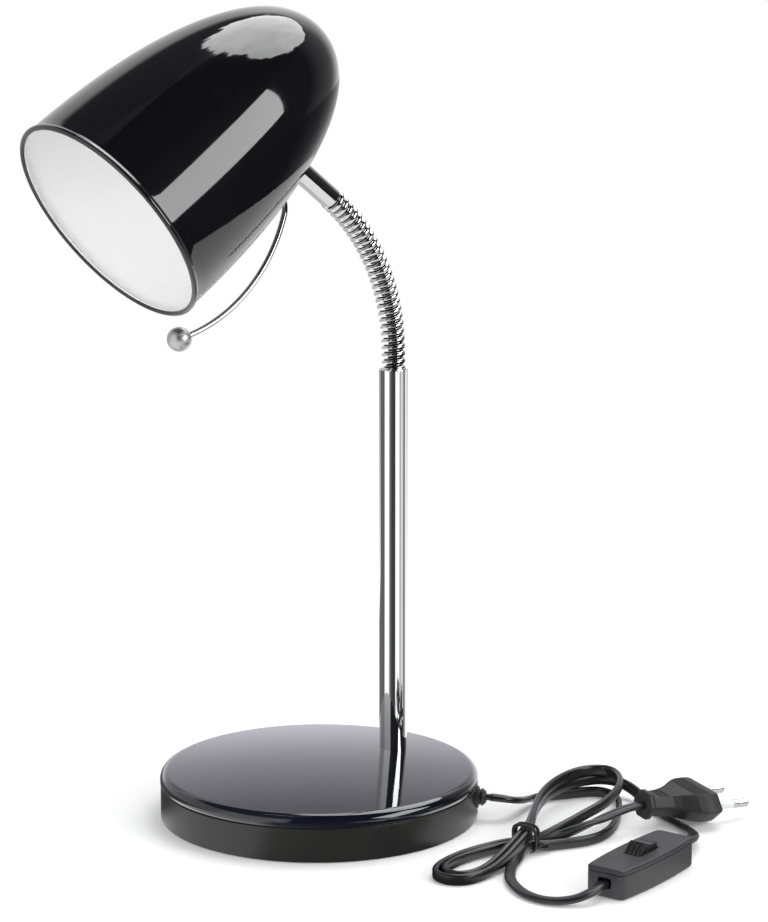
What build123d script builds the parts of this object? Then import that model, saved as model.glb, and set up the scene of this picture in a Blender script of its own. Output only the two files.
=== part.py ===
from build123d import *
import os
from math import acos, atan, atan2, cos, degrees, pi, radians, sin, sqrt, tan

# Gooseneck desk lamp, in millimetres, +Z up. The origin is the centre of the base's underside.
# The neck bends in the XZ plane, the pole stands on the +X side and the shade opens towards -X.

# ---- fits -------------------------------------------------------------------------------------
slip = 0.05  # radial clearance of what is pushed or screwed in
loose = 0.3  # clearance round what hangs, turns or lies against a curved face

# ---- base: tray, cover and ballast --------------------------------------------------------------
base_radius = 75.0
pad_radius = 66.0
pad_height = 1.0
pad_recess = 0.8
pad_chamfer = 0.3
tray_inset = 0.6
tray_wall = 2.2
tray_floor = 2.2
tray_side = 15.3
tray_lip = 2.0
tray_lip_wall = 1.4
post_height = 7.0
post_radius = 4.6
post_ring_radius = 45.0
post_count = 3
post_azimuth = 40.0  # of the first one, clear of the pole and the cord's clamp
cover_wall = 1.0
cover_skirt = 1.6
cover_edge = 3.2
cover_crown = 2.9
ballast_radius = 60.0
ballast_thickness = 7.5
ballast_boss_radius = 9.0
ballast_pocket_radius = 11.0
ballast_pocket_depth = 4.0
ballast_chamfer = 1.0

# ---- fasteners ----------------------------------------------------------------------------------
m3_radius = 1.5
m3_head_radius = 2.8
m3_head_height = 1.6
m3_head_edge = 0.5
m3_nut_flats = 5.5
m3_nut_height = 2.4
tray_screw_length = 13.0
clamp_screw_length = 5.0
m10_radius = 5.0
m10_bore = 4.0
m10_nut_flats = 14.0
m10_nut_height = 3.5
washer_radius = 8.0
washer_thickness = 1.2

# ---- pole ---------------------------------------------------------------------------------------
pole_offset = 44.0
pole_radius = 6.7
pole_wall = 0.8
pole_top = 208.5
pole_bush_length = 12.0
nipple_reach = 10.0
nipple_tail = 0.8  # how far it stands out below its nut

# ---- gooseneck ----------------------------------------------------------------------------------
neck_radius = 5.7
neck_bore = 2.1
neck_root_depth = 14.0
neck_stub = 8.1
link_pitch = 6.1
joint_count = 14  # sideways and forward joints by turns, the sideways one first
rest_bend = 52.0 / 7  # forward bend of each of the seven forward joints
link_gap = 1.5
link_chamfer = 0.8
link_groove = 0.7
link_groove_width = 0.9
ball_radius = 3.4
ferrule_radius = 5.1
ferrule_length = 26.4
ferrule_thread = 9.0

# ---- shade --------------------------------------------------------------------------------------
shade_radius = 51.1
shade_length = 137.0
shade_wall = 0.8
shade_bead = 1.3
shade_bluntness = 2.17  # exponents of the bullet-shaped outline
shade_fullness = 2.31
outline_points = 11
attach_inset = 43.6  # from the apex back to where the neck meets the wall

# ---- lampholder ---------------------------------------------------------------------------------
bracket_width = 14.0
bracket_thickness = 1.2
bracket_inset = 19.0  # from the apex to the plate behind the lampholder
bracket_tail = 2.0  # how far the plate runs on past its half width
cap_radius = 19.0
cap_wall = 1.8
cap_length = 15.8
cap_shoulder = 5.0
holder_radius = 18.6
holder_wall = 2.0
holder_length = 35.0
holder_spigot = 5.0
insert_thickness = 8.0
lamp_shell_radius = 13.3
lamp_shell_wall = 0.5
lamp_shell_length = 23.0
lamp_shell_thread = 18.6
lamp_shell_neck = 12.4
lamp_shell_taper = 1.2
contact_width = 6.0
contact_thickness = 0.6
terminal_spread = 10.0
holder_nipple_length = 17.0
holder_nipple_bore = 3.0

# ---- handle -------------------------------------------------------------------------------------
handle_radius = 1.4
handle_inset = 13.4  # from where the neck meets the wall back to the rod's hole
handle_tail = 7.0
handle_shoulder = (11.83, -3.93)  # from the hole to the arc's upper end, outwards and along the axis
handle_arc_radius = 74.0
handle_arc_foot = -23.0  # the arc's angles, from its lower end to where it turns into the wall
handle_arc_top = 38.5
knob_radius = 5.5
knob_hole = 4.0

# ---- cord, gland and clamp ------------------------------------------------------------------------
cord_height = 3.1  # a flat twin cord lies on its broad side
gland_azimuth = -46.0
gland_height = 11.0
gland_flange_radius = 5.0
gland_flange = 2.4
gland_flange_rim = 1.44  # the part of it that keeps its full radius
gland_neck_radius = 3.5
gland_nose = 5.0
gland_nose_radius = 2.6
gland_nose_root = 3.4
clamp_inset = 21.2  # from the tray's inner wall to the clamp's middle
clamp_length = 19.0
clamp_width = 6.0
clamp_thickness = 1.6
clamp_screw_spread = 13.0
cable_level_length = 5.7  # from the tray's inner wall to where the cable starts to fall
cable_fall_length = 14.2  # and to where it has reached the floor
cable_clamp_length = 7.0  # how far it runs on past the clamp's middle
cable_rise_lead = 9.5  # and how far from the pole's axis it turns towards it

# ---- hank of cord ---------------------------------------------------------------------------------
hank_far_height = 15.8
hank_far_rim = [(43, -103), (50, -91.5), (62, -80), (73, -70.5), (84, -63.3), (95, -58.6), (106, -56),
                (116, -55.4), (124, -58), (128.6, -64.5), (127.5, -73), (121.5, -82), (113, -91),
                (100, -99), (86, -104), (70, -107), (56, -108.5), (46, -107.5)]
hank_far_hole = [(57, -99), (58, -91), (66, -81.5), (76, -73.2), (86, -67.2), (96, -63), (106, -60.9),
                 (114.5, -61.3), (118.3, -65.5), (117, -73), (110, -83.5), (101, -91.5), (90, -97.5),
                 (78, -100.3), (67, -102)]
hank_front_height = 5.5
hank_front_rim = [(114, -88.5), (106, -96.8), (98, -103.5), (90, -110.5), (81, -115.8), (71, -118.3),
                  (63, -117), (56, -113.5), (47, -110.5), (49, -106), (62, -107.5), (76, -107.5),
                  (90, -101.5), (104, -94.5)]
hank_near_height = 6.5
hank_near_rim = [(34, -99.5), (28, -94.3), (18, -93.6), (7, -94.8), (-4, -98), (-13.5, -103),
                 (-18.9, -109.5), (-18.8, -117), (-13.5, -124), (-5, -125.5), (5, -123.3), (14, -119.8),
                 (23, -116.3), (31, -112.5), (36, -109)]
hank_near_hole = [(27, -105), (20, -101), (8, -102), (-1, -104.5), (-8, -108.5), (-9.5, -113.5),
                  (-6, -116.8), (2, -116.5), (12, -112.8), (22, -108.5)]
# Along the tie's axis and across it, then along the axis and up.
hank_shoulder = [(-3, -5), (-3, 2), (-25, -0.5), (-25, -5.5)]
hank_top_line = [(-60, 6.5), (-25, 6.9), (-15.5, 9.3), (-5, 11.6), (-3, 12), (5, 12), (30, 14.4),
                 (70, 15.8)]
waist_width = 10.2
waist_length = 16.0
waist_height = 12.0
tie_place = (39.5, -104.5)
tie_turn = 18.0
tie_wire = 1.2
tie_width = 3.4
tie_span = 11.0

# ---- cable and cord routes, as the corners of their straight runs ---------------------------------
# In the shade: distance to its axis, and station from where the neck meets the wall.
shade_cable_route = [(29.9, -4.0), (23.1, 1.0), (23.1, 10.5)]
shade_cable_start = 2.0  # how far it reaches back into the ferrule
cap_hole_inset = 4.0  # from the cap's shoulder to the cable's hole
cap_entry = 6.5  # how far the cable goes into the cap
switch_entry = 8.0  # how far the cord goes into the switch
switch_entry_lead = 1.0  # how far it runs straight outside it
base_lead_route = [(62.0, -64.2, 10.5), (69.5, -65.5, 8.6), (78.0, -60.5, 6.0), (88.0, -55.6, 4.0),
                   (99.0, -55.4, 2.7)]
switch_lead_route = [(19.5, -120.0, 1.8), (12.5, -125.5, 1.6), (7.0, -132.0, 1.6), (2.0, -141.5, 1.6),
                     (-0.5, -152.0, 1.6), (1.5, -163.0, 1.6), (9.0, -171.5, 2.6), (17.5, -174.2, 5.2)]
switch_tail_route = [(94.0, -152.0, 6.6), (105.5, -146.0, 5.0), (113.5, -134.0, 2.6),
                     (118.5, -121.0, 1.6), (121.5, -108.0, 1.6), (125.5, -96.5, 1.8),
                     (129.5, -85.5, 3.0), (131.5, -77.0, 4.8), (130.6, -71.0, 6.0)]
plug_lead_route = [(92.5, -113.6, 12.6), (81.5, -113.0, 10.8), (70.5, -112.0, 8.9), (60.5, -110.4, 7.4)]

# ---- inline switch --------------------------------------------------------------------------------
switch_place = (56.0, -163.0)
switch_turn = 16.0
switch_length = 60.0
switch_end_width = 18.5
switch_width = 22.0
switch_height = 13.4
switch_wall = 1.5
switch_edge = 1.0
rocker_length = 15.2
rocker_width = 8.0
rocker_wing = 5.6
rocker_crest = 1.8  # how far a crest stands in from its wing's end
rocker_waist = 2.4
rocker_side = 1.0
rocker_hub = 2.2
rocker_hub_length = 6.0
rocker_axle = 1.2
rocker_pivot = 10.0
rocker_throw = 16.0
window_length = 17.0
rib_length = 6.0
rib_wall = 1.2
rib_depth = 3.4
switch_post_radius = 2.8
switch_posts = [(-21.0, 5.6), (21.0, -5.6)]
switch_screw_radius = 1.1
switch_screw_head = 2.1
switch_screw_head_height = 1.2
switch_screw_length = 8.5
terminal_length = 9.0
terminal_width = 6.0
terminal_height = 3.4
terminal_place = 13.0
terminal_edge = 0.3
bridge_width = 4.0
bridge_thickness = 0.5
bridge_rise = 1.3

# ---- plug -----------------------------------------------------------------------------------------
plug_nose = (137.9, -117.5, 9.6)
plug_heading = -5.8
plug_pitch = 4.8
plug_roll = 5.6
plug_width = 35.3
plug_thickness = 13.7
# Distance behind the nose, then shares of the width: overall and of the flats, and of the thickness.
plug_sections = [
    (0.0, 0.84, 0.52, 0.86),
    (2.4, 0.96, 0.62, 1.0),
    (5.5, 1.0, 0.65, 1.0),
    (13.0, 0.93, 0.61, 0.98),
    (19.5, 0.60, 0.38, 0.84),
    (26.0, 0.42, 0.27, 0.72),
    (33.0, 0.38, 0.24, 0.66),
]
plug_flange_thickness = 3.0
plug_flange_radius = 7.4
plug_entry = 2.2
grip_groove = 0.5
grip_pitch = 1.5
grip_count = 5
grip_start = 6.0
grip_width = 19.8
pin_spread = 18.6
pin_radius = 2.0
pin_core_radius = 1.5
pin_length = 19.0
pin_sleeve_length = 10.0
pin_root = 6.0
pin_tip_chamfer = 0.8


def export(piece, name):
    """Label a finished piece and write it as a STEP file of its own."""
    piece.part.label = name
    export_step(piece.part, f"parts/{name}.step")


def section(plane):
    """The half plane through a turned piece's axis: x is the radius, y runs along the axis."""
    return Plane(origin=plane.origin, x_dir=plane.x_dir, z_dir=plane.y_dir * -1)


def turned_face(*outline):
    """A closed straight-sided outline, as a face of the current sketch."""
    with BuildLine() as edge:
        Polyline(*outline, close=True)
    make_face(edge.edges())


def polar(radius, azimuth, height=0.0):
    """A point from its distance to the base's axis, its azimuth in degrees and its height."""
    return (radius * cos(radians(azimuth)), radius * sin(radians(azimuth)), height)


def cord_tube(route, radius):
    """A tube on straight runs joined by tangent arcs as large as the runs allow."""
    corners = [Vector(*point) for point in route]
    runs = [end - start for start, end in zip(corners, corners[1:])]
    radii = []
    for before, after in zip(runs, runs[1:]):
        half_turn = radians(before.get_angle(after)) / 2
        radii.append(0.45 * min(before.length, after.length) / tan(half_turn))
    with BuildPart() as tube:
        with BuildLine() as path:
            FilletPolyline(*corners, radius=radii)
        with BuildSketch(Plane(origin=corners[0], z_dir=runs[0])):
            Circle(radius)
        sweep(path=path.wires()[0])
    length = path.wires()[0].length
    print("cord radii", [round(value, 1) for value in radii], "length", round(length, 1),
          "volume ratio", round(tube.part.volume / (pi * radius**2 * length), 4))
    return tube


os.makedirs("parts", exist_ok=True)

# ---- levels and radii worked out from the sizes above ---------------------------------------------
floor_top = pad_height + tray_floor
seam_level = pad_height + tray_side
edge_level = seam_level + cover_skirt + cover_edge
crown_level = edge_level + cover_crown
tray_radius = base_radius - tray_inset
tray_inner = tray_radius - tray_wall
lip_outer = base_radius - cover_wall - slip * 4
ballast_bottom = floor_top + post_height
crown_radius = ((base_radius - cover_edge) ** 2 + cover_crown**2) / (2 * cover_crown)
screw_head_top = pad_height + pad_recess + m3_head_height


def cover_level(distance, wall=0.0):
    """Height of the cover's top, or of its underside, at a distance from the base's axis."""
    return crown_level - wall - distance**2 / (2 * crown_radius)


def dome_face(inset, lift=0.0):
    """The cover's section down to the seam, drawn in by a wall or lifted by a clearance."""
    radius = base_radius - inset
    edge = cover_edge - inset
    top = edge_level - inset + lift
    crown = crown_level - inset + lift
    with BuildLine() as outline:
        Polyline((0, crown), (0, seam_level), (radius, seam_level), (radius, top - edge))
        JernArc(start=(radius, top - edge), tangent=(0, 1), radius=edge, arc_size=90)
        TangentArc((0, crown), (radius - edge, top), tangent=(1, 0))
    make_face(outline.edges())


post_places = [polar(post_ring_radius, post_azimuth + 360 / post_count * turn)
               for turn in range(post_count)]

# Gland: its axis points out of the tray's side; the clamp stands on the same line, further in.
gland_plane = Plane(origin=(0, 0, gland_height), x_dir=(0, 0, 1), z_dir=polar(1, gland_azimuth))
gland_mouth = tray_radius + gland_flange + gland_nose
clamp_circle = tray_inner - clamp_inset
cable_radius = cord_height / 2
cable_level = floor_top + loose + cable_radius
clamp_frame = Plane(origin=polar(clamp_circle, gland_azimuth), x_dir=polar(1, gland_azimuth + 90),
                    z_dir=(0, 0, 1))
clamp_level = cable_level + cable_radius + slip
clamp_screw_places = [(-clamp_screw_spread / 2, 0), (clamp_screw_spread / 2, 0)]

# Base tray: moulded, open above, with posts that carry the ballast and a lip inside the cover.
with BuildPart() as base_tray:
    with BuildSketch(Plane.XZ):
        turned_face((0, pad_height), (tray_radius, pad_height), (tray_radius, seam_level),
                    (lip_outer, seam_level), (lip_outer, seam_level + tray_lip),
                    (lip_outer - tray_lip_wall, seam_level + tray_lip),
                    (tray_inner, seam_level - tray_wall), (tray_inner, floor_top), (0, floor_top))
    revolve(axis=Axis.Z)
    with BuildSketch(Plane.XY.offset(floor_top)):
        with Locations(*post_places):
            Circle(post_radius)
    extrude(amount=post_height)
    with BuildSketch(clamp_frame.offset(floor_top)):
        with Locations(*clamp_screw_places):
            Circle(clamp_width / 2)
    extrude(amount=clamp_level - floor_top)
    with BuildSketch(Plane.XY.offset(pad_height)):
        Circle(pad_radius + slip)
    extrude(amount=pad_recess, mode=Mode.SUBTRACT)
    with BuildSketch(Plane.XY.offset(pad_height)):
        with Locations(*post_places):
            Circle(m3_head_radius + loose)
    extrude(amount=screw_head_top - pad_height, mode=Mode.SUBTRACT)
    with BuildSketch(Plane.XY.offset(pad_height)):
        with Locations(*post_places):
            Circle(m3_radius + slip)
    extrude(amount=tray_side, mode=Mode.SUBTRACT)
    with BuildSketch(clamp_frame.offset(clamp_level)):
        with Locations(*clamp_screw_places):
            Circle(m3_radius + slip)
    extrude(amount=-clamp_screw_length + clamp_thickness, mode=Mode.SUBTRACT)
    with BuildSketch(gland_plane.offset(tray_inner - tray_wall)):
        Circle(gland_neck_radius + slip)
    extrude(amount=3 * tray_wall, mode=Mode.SUBTRACT)
export(base_tray, "base_tray")

# Base cover: pressed steel dome with a rolled-over skirt that stands on the tray's shoulder.
with BuildPart() as base_cover:
    with BuildSketch(Plane.XZ):
        dome_face(0)
    revolve(axis=Axis.Z)
    with BuildSketch(Plane.XZ):
        dome_face(cover_wall)
    revolve(axis=Axis.Z, mode=Mode.SUBTRACT)
    with BuildSketch(Plane.XY.offset(seam_level)):
        with Locations((pole_offset, 0)):
            Circle(m10_radius + slip)
    extrude(amount=crown_level, mode=Mode.SUBTRACT)
export(base_cover, "base_cover")

# Ballast: cast disc with a boss under the pole, a pocket for the nut and tapped holes for the tray.
boss_top = cover_level(pole_offset + ballast_boss_radius, cover_wall)
with BuildPart() as base_ballast:
    with BuildSketch(Plane.XY.offset(ballast_bottom)):
        Circle(ballast_radius)
    extrude(amount=ballast_thickness)
    chamfer(base_ballast.edges().filter_by(GeomType.CIRCLE), length=ballast_chamfer)
    with BuildSketch(Plane.XY.offset(ballast_bottom + ballast_thickness / 2)):
        with Locations((pole_offset, 0)):
            Circle(ballast_boss_radius)
    extrude(amount=boss_top - ballast_bottom - ballast_thickness / 2)
    with BuildSketch(Plane.XY.offset(ballast_bottom)):
        with Locations((pole_offset, 0)):
            Circle(ballast_pocket_radius)
    extrude(amount=ballast_pocket_depth, mode=Mode.SUBTRACT)
    with BuildSketch(Plane.XY.offset(ballast_bottom)):
        with Locations((pole_offset, 0)):
            Circle(m10_radius + slip)
    extrude(amount=crown_level, mode=Mode.SUBTRACT)
    with BuildSketch(Plane.XY.offset(ballast_bottom)):
        with Locations(*post_places):
            Circle(m3_radius + slip)
    extrude(amount=ballast_thickness, mode=Mode.SUBTRACT)
export(base_ballast, "base_ballast")

# Pad: a foam disc in the tray's shallow recess, over the screws.
with BuildPart() as base_pad:
    with BuildSketch(Plane.XY):
        Circle(pad_radius)
    extrude(amount=pad_height + pad_recess)
    chamfer(base_pad.edges().group_by(Axis.Z)[0], length=pad_chamfer)
export(base_pad, "base_pad")

# Screws: pan heads in the tray's counterbores, shanks through the posts into the ballast.
with BuildPart() as tray_screws:
    with BuildSketch(Plane.XY.offset(screw_head_top)):
        with Locations(*post_places):
            Circle(m3_head_radius)
    extrude(amount=-m3_head_height)
    fillet(tray_screws.edges().group_by(Axis.Z)[0], radius=m3_head_edge)
    with BuildSketch(Plane.XY.offset(screw_head_top)):
        with Locations(*post_places):
            Circle(m3_radius)
    extrude(amount=tray_screw_length)
export(tray_screws, "tray_screws")

# Pole fixing: a hollow threaded nipple up into the pole's bush, with a washer and nut below.
pocket_roof = ballast_bottom + ballast_pocket_depth
pole_foot = cover_level(pole_offset)
nipple_bottom = pocket_roof - washer_thickness - m10_nut_height - nipple_tail
pole_axis = Plane(origin=(pole_offset, 0, 0), x_dir=(1, 0, 0), z_dir=(0, 0, 1))

with BuildPart() as pole_washer:
    with BuildSketch(pole_axis.offset(pocket_roof - washer_thickness)):
        Circle(washer_radius)
        Circle(m10_radius + slip, mode=Mode.SUBTRACT)
    extrude(amount=washer_thickness)
export(pole_washer, "pole_washer")

with BuildPart() as pole_nut:
    with BuildSketch(pole_axis.offset(pocket_roof - washer_thickness - m10_nut_height)):
        RegularPolygon(radius=m10_nut_flats / 2, side_count=6, major_radius=False)
        Circle(m10_radius + slip, mode=Mode.SUBTRACT)
    extrude(amount=m10_nut_height)
export(pole_nut, "pole_nut")

with BuildPart() as pole_nipple:
    with BuildSketch(pole_axis.offset(nipple_bottom)):
        Circle(m10_radius)
        Circle(m10_bore, mode=Mode.SUBTRACT)
    extrude(amount=pole_foot + nipple_reach - nipple_bottom)
export(pole_nipple, "pole_nipple")

# Pole: drawn tube whose foot is cut to the cover's dome, with a bush brazed in its lower end.
pole_inner = pole_radius - pole_wall
with BuildPart() as pole:
    with BuildSketch(pole_axis.offset(seam_level)):
        Circle(pole_radius)
        Circle(pole_inner, mode=Mode.SUBTRACT)
    extrude(amount=pole_top - seam_level)
    with BuildSketch(Plane.XZ):
        dome_face(0, slip)
    revolve(axis=Axis.Z, mode=Mode.SUBTRACT)
    fillet(pole.edges().group_by(Axis.Z)[-1].sort_by(SortBy.RADIUS)[-1], radius=pole_wall / 2)
export(pole, "pole")

bush_bottom = cover_level(pole_offset - pole_inner) + loose
with BuildPart() as pole_bush:
    with BuildSketch(pole_axis.offset(bush_bottom)):
        Circle(pole_inner - slip)
        Circle(m10_radius + slip, mode=Mode.SUBTRACT)
    extrude(amount=pole_bush_length)
export(pole_bush, "pole_bush")

# Gooseneck: every joint has a ball on the lower piece inside a socket of the upper one. A frame
# holds a joint's centre and, in z, the way the piece above it points at rest.
socket_radius = ball_radius + loose
neck_frames = []
place = Vector(pole_offset, 0, pole_top + neck_stub)
lean = 0.0
for number in range(joint_count):
    if number % 2 == 1:
        lean += rest_bend
    direction = Vector(-sin(radians(lean)), 0, cos(radians(lean)))
    across = Vector(cos(radians(lean)), 0, sin(radians(lean)))
    neck_frames.append(Plane(origin=place, x_dir=across, z_dir=direction))
    place = place + direction * link_pitch
neck_lean = lean
flat_radius = neck_radius - link_chamfer
ball_top = sqrt(ball_radius**2 - neck_bore**2)
socket_top = sqrt(socket_radius**2 - neck_bore**2)
ball_collar = sqrt(ball_radius**2 - link_gap**2 / 4)
socket_mouth = sqrt(socket_radius**2 - link_gap**2 / 4)


def ball_end(joint):
    """Upper end of a neck piece: shoulder, then the ball about the joint, down to the bore."""
    Line((flat_radius, joint - link_gap / 2), (ball_collar, joint - link_gap / 2))
    ThreePointArc((ball_collar, joint - link_gap / 2), (ball_radius, joint),
                  (neck_bore, joint + ball_top))


def socket_end():
    """Lower end of a neck piece: from the bore down the socket to the flat rim."""
    bend = radians(35)
    ThreePointArc((neck_bore, socket_top),
                  (socket_radius * cos(bend), socket_radius * sin(bend)),
                  (socket_mouth, link_gap / 2))
    Line((socket_mouth, link_gap / 2), (flat_radius, link_gap / 2))


# The stub that is pressed into the pole and carries the first joint's ball.
with BuildPart() as neck_root:
    with BuildSketch(section(pole_axis.offset(pole_top))):
        with BuildLine():
            ball_end(neck_stub)
            Polyline((neck_bore, neck_stub + ball_top), (neck_bore, -neck_root_depth),
                     (pole_inner - slip, -neck_root_depth), (pole_inner - slip, -pole_wall),
                     (neck_radius, 0), (neck_radius, neck_stub - link_gap / 2 - link_chamfer),
                     (flat_radius, neck_stub - link_gap / 2))
        make_face()
    revolve(axis=Axis(neck_frames[0].origin, (0, 0, 1)))
export(neck_root, "neck_root")

groove_middle = link_pitch / 2
for number, frame in enumerate(neck_frames[:-1], start=1):
    with BuildPart() as neck_link:
        with BuildSketch(section(frame)):
            with BuildLine():
                socket_end()
                Polyline((flat_radius, link_gap / 2), (neck_radius, link_gap / 2 + link_chamfer),
                         (neck_radius, groove_middle - link_groove_width / 2),
                         (neck_radius - link_groove, groove_middle),
                         (neck_radius, groove_middle + link_groove_width / 2),
                         (neck_radius, link_pitch - link_gap / 2 - link_chamfer),
                         (flat_radius, link_pitch - link_gap / 2))
                ball_end(link_pitch)
                Line((neck_bore, link_pitch + ball_top), (neck_bore, socket_top))
            make_face()
        revolve(axis=Axis(frame.origin, frame.z_dir))
    export(neck_link, f"neck_link_{number:02d}")

# ---- shade: its frame follows from the neck's end, because the neck meets the wall squarely -------
# A station is a distance along the shade's axis from its rim.
attach_station = shade_length - attach_inset
handle_root = attach_station - handle_inset
bracket_back = shade_length - bracket_inset


def shade_outline(radius, length):
    """Points of the bullet-shaped outline, from the rim to the apex, as (radius, station)."""
    points = []
    for step in range(outline_points):
        turn = radians(90 * step / (outline_points - 1))
        points.append((radius * max(cos(turn), 0) ** (2 / shade_fullness) if step else radius,
                       length * sin(turn) ** (2 / shade_bluntness)))
    points[-1] = (0, length)
    return points


def wall_radius(station, inset=0.0):
    """Radius of the shade's wall at a station, drawn in by an inset."""
    share = (station / (shade_length - inset)) ** shade_bluntness
    return (shade_radius - inset) * (1 - share) ** (1 / shade_fullness)


def wall_slope(station):
    """Angle in degrees by which the wall leans towards the axis at a station."""
    half_step = 0.05
    fall = wall_radius(station - half_step) - wall_radius(station + half_step)
    return degrees(atan(fall / (2 * half_step)))


neck_end = neck_frames[-1]
attach_slope = wall_slope(attach_station)
shade_lift = neck_lean - attach_slope
shade_axis = Vector(cos(radians(shade_lift)), 0, sin(radians(shade_lift)))
shade_side = Vector(sin(radians(shade_lift)), 0, -cos(radians(shade_lift)))
attach_point = neck_end.origin + neck_end.z_dir * (link_pitch + ferrule_length)
rim_centre = attach_point - shade_axis * attach_station - shade_side * wall_radius(attach_station)
shade_plane = Plane(origin=rim_centre, x_dir=shade_side, z_dir=shade_axis)
shade_section = section(shade_plane)
wall_plane = Plane(origin=attach_point, x_dir=neck_end.x_dir, z_dir=neck_end.z_dir)

# Ferrule: the neck's upper stub, a smooth tube to the shade and a thread through its wall.
ferrule_start = link_pitch
ferrule_end = ferrule_start + ferrule_length
with BuildPart() as neck_ferrule:
    with BuildSketch(section(neck_end)):
        with BuildLine():
            socket_end()
            Polyline((flat_radius, link_gap / 2), (neck_radius, link_gap / 2 + link_chamfer),
                     (neck_radius, ferrule_start), (ferrule_radius, ferrule_start),
                     (ferrule_radius, ferrule_end), (m10_radius - slip, ferrule_end),
                     (m10_radius - slip, ferrule_end + ferrule_thread),
                     (m10_bore, ferrule_end + ferrule_thread), (m10_bore, ferrule_start),
                     (neck_bore, ferrule_start), (neck_bore, socket_top))
        make_face()
    revolve(axis=Axis(neck_end.origin, neck_end.z_dir))
export(neck_ferrule, "neck_ferrule")

# Rod: one wide arc in the shade's section that turns into the wall, with a threaded tail inside.
arc_top = radians(handle_arc_top)
rod_root = (wall_radius(handle_root), handle_root)
rod_shoulder = (rod_root[0] + handle_shoulder[0], rod_root[1] + handle_shoulder[1])
arc_centre = (rod_shoulder[0] - handle_arc_radius * cos(arc_top),
              rod_shoulder[1] - handle_arc_radius * sin(arc_top))
chord_angle = atan2(rod_root[1] - rod_shoulder[1], rod_root[0] - rod_shoulder[0])
tail_angle = 2 * chord_angle - arc_top - pi / 2
rod_tail = (rod_root[0] + handle_tail * cos(tail_angle), rod_root[1] + handle_tail * sin(tail_angle))
with BuildPart() as handle_rod:
    with BuildLine(shade_section) as rod_path:
        CenterArc(arc_centre, handle_arc_radius, handle_arc_foot, handle_arc_top - handle_arc_foot)
        TangentArc(rod_shoulder, rod_root, tangent=(-sin(arc_top), cos(arc_top)))
        Line(rod_root, rod_tail)
    with BuildSketch(Plane(origin=rod_path.line @ 0, z_dir=rod_path.line % 0)):
        Circle(handle_radius)
    sweep(path=rod_path.wires()[0])
export(handle_rod, "handle_rod")
rod_foot = Plane(origin=rod_path.line @ 1, z_dir=rod_path.line % 1)
rod_tip = Plane(origin=rod_path.line @ 0, z_dir=rod_path.line % 0)

# Knob: a ball with a blind hole for the rod.
with BuildPart() as handle_knob:
    with BuildSketch(section(rod_tip.offset(knob_hole - knob_radius))):
        with BuildLine():
            CenterArc((0, 0), knob_radius, -90, 180)
            Line((0, knob_radius), (0, -knob_radius))
        make_face()
    revolve(axis=Axis(rod_tip.origin, rod_tip.z_dir))
    with BuildSketch(rod_tip):
        Circle(handle_radius + loose / 2)
    extrude(amount=knob_hole, mode=Mode.SUBTRACT)
export(handle_knob, "handle_knob")

wall_normal = radians(wall_slope(handle_root)) + pi
nut_lean = acos(cos(tail_angle - wall_normal))
nut_depth = (shade_wall + loose) / cos(nut_lean) + m3_nut_flats / sqrt(3) * tan(nut_lean) + loose
with BuildPart() as handle_nut:
    with BuildSketch(rod_foot.offset(nut_depth - handle_tail)):
        RegularPolygon(radius=m3_nut_flats / 2, side_count=6, major_radius=False)
        Circle(handle_radius + slip, mode=Mode.SUBTRACT)
    extrude(amount=m3_nut_height)
export(handle_nut, "handle_nut")

# Shade: spun bullet-shaped shell with a rolled rim and holes for the neck and the rod.
with BuildPart() as shade:
    with BuildSketch(shade_section):
        with BuildLine():
            Spline(*shade_outline(shade_radius, shade_length), tangents=((0, 1), (-1, 0)))
            Polyline((0, shade_length), (0, 0), (shade_radius, 0))
        make_face()
        with BuildLine():
            Spline(*shade_outline(shade_radius - shade_wall, shade_length - shade_wall),
                   tangents=((0, 1), (-1, 0)))
            Polyline((0, shade_length - shade_wall), (0, 0), (shade_radius - shade_wall, 0))
        make_face(mode=Mode.SUBTRACT)
        with Locations((shade_radius - shade_wall / 2, shade_bead)):
            Circle(shade_bead)
    revolve(axis=Axis(shade_plane.origin, shade_plane.z_dir))
    with BuildSketch(wall_plane.offset(-2 * shade_wall)):
        Circle(m10_radius)
    extrude(amount=5 * shade_wall, mode=Mode.SUBTRACT)
    with BuildSketch(rod_foot.offset(-2 * handle_tail)):
        Circle(handle_radius + slip)
    extrude(amount=2 * handle_tail, mode=Mode.SUBTRACT)
export(shade, "shade")


# ---- lampholder: a bracket clamped to the ferrule carries it on the shade's axis --------------------
def saddle(station):
    """How far the wall's inside rises over half the bracket's width, with the wall itself."""
    return shade_wall + bracket_width**2 / (8 * wall_radius(station)) + loose


seat_depth = saddle(attach_station)
slope = radians(attach_slope)
seat_middle = seat_depth + bracket_thickness / 2
seat = (wall_radius(attach_station) - seat_middle * cos(slope),
        attach_station - seat_middle * sin(slope))
plate_station = bracket_back - bracket_thickness / 2
knee_station = (seat[1] + washer_radius + plate_station) / 2
knee_depth = saddle(knee_station) + loose + bracket_thickness / 2
plate_depth = saddle(plate_station) + loose + bracket_thickness

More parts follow.
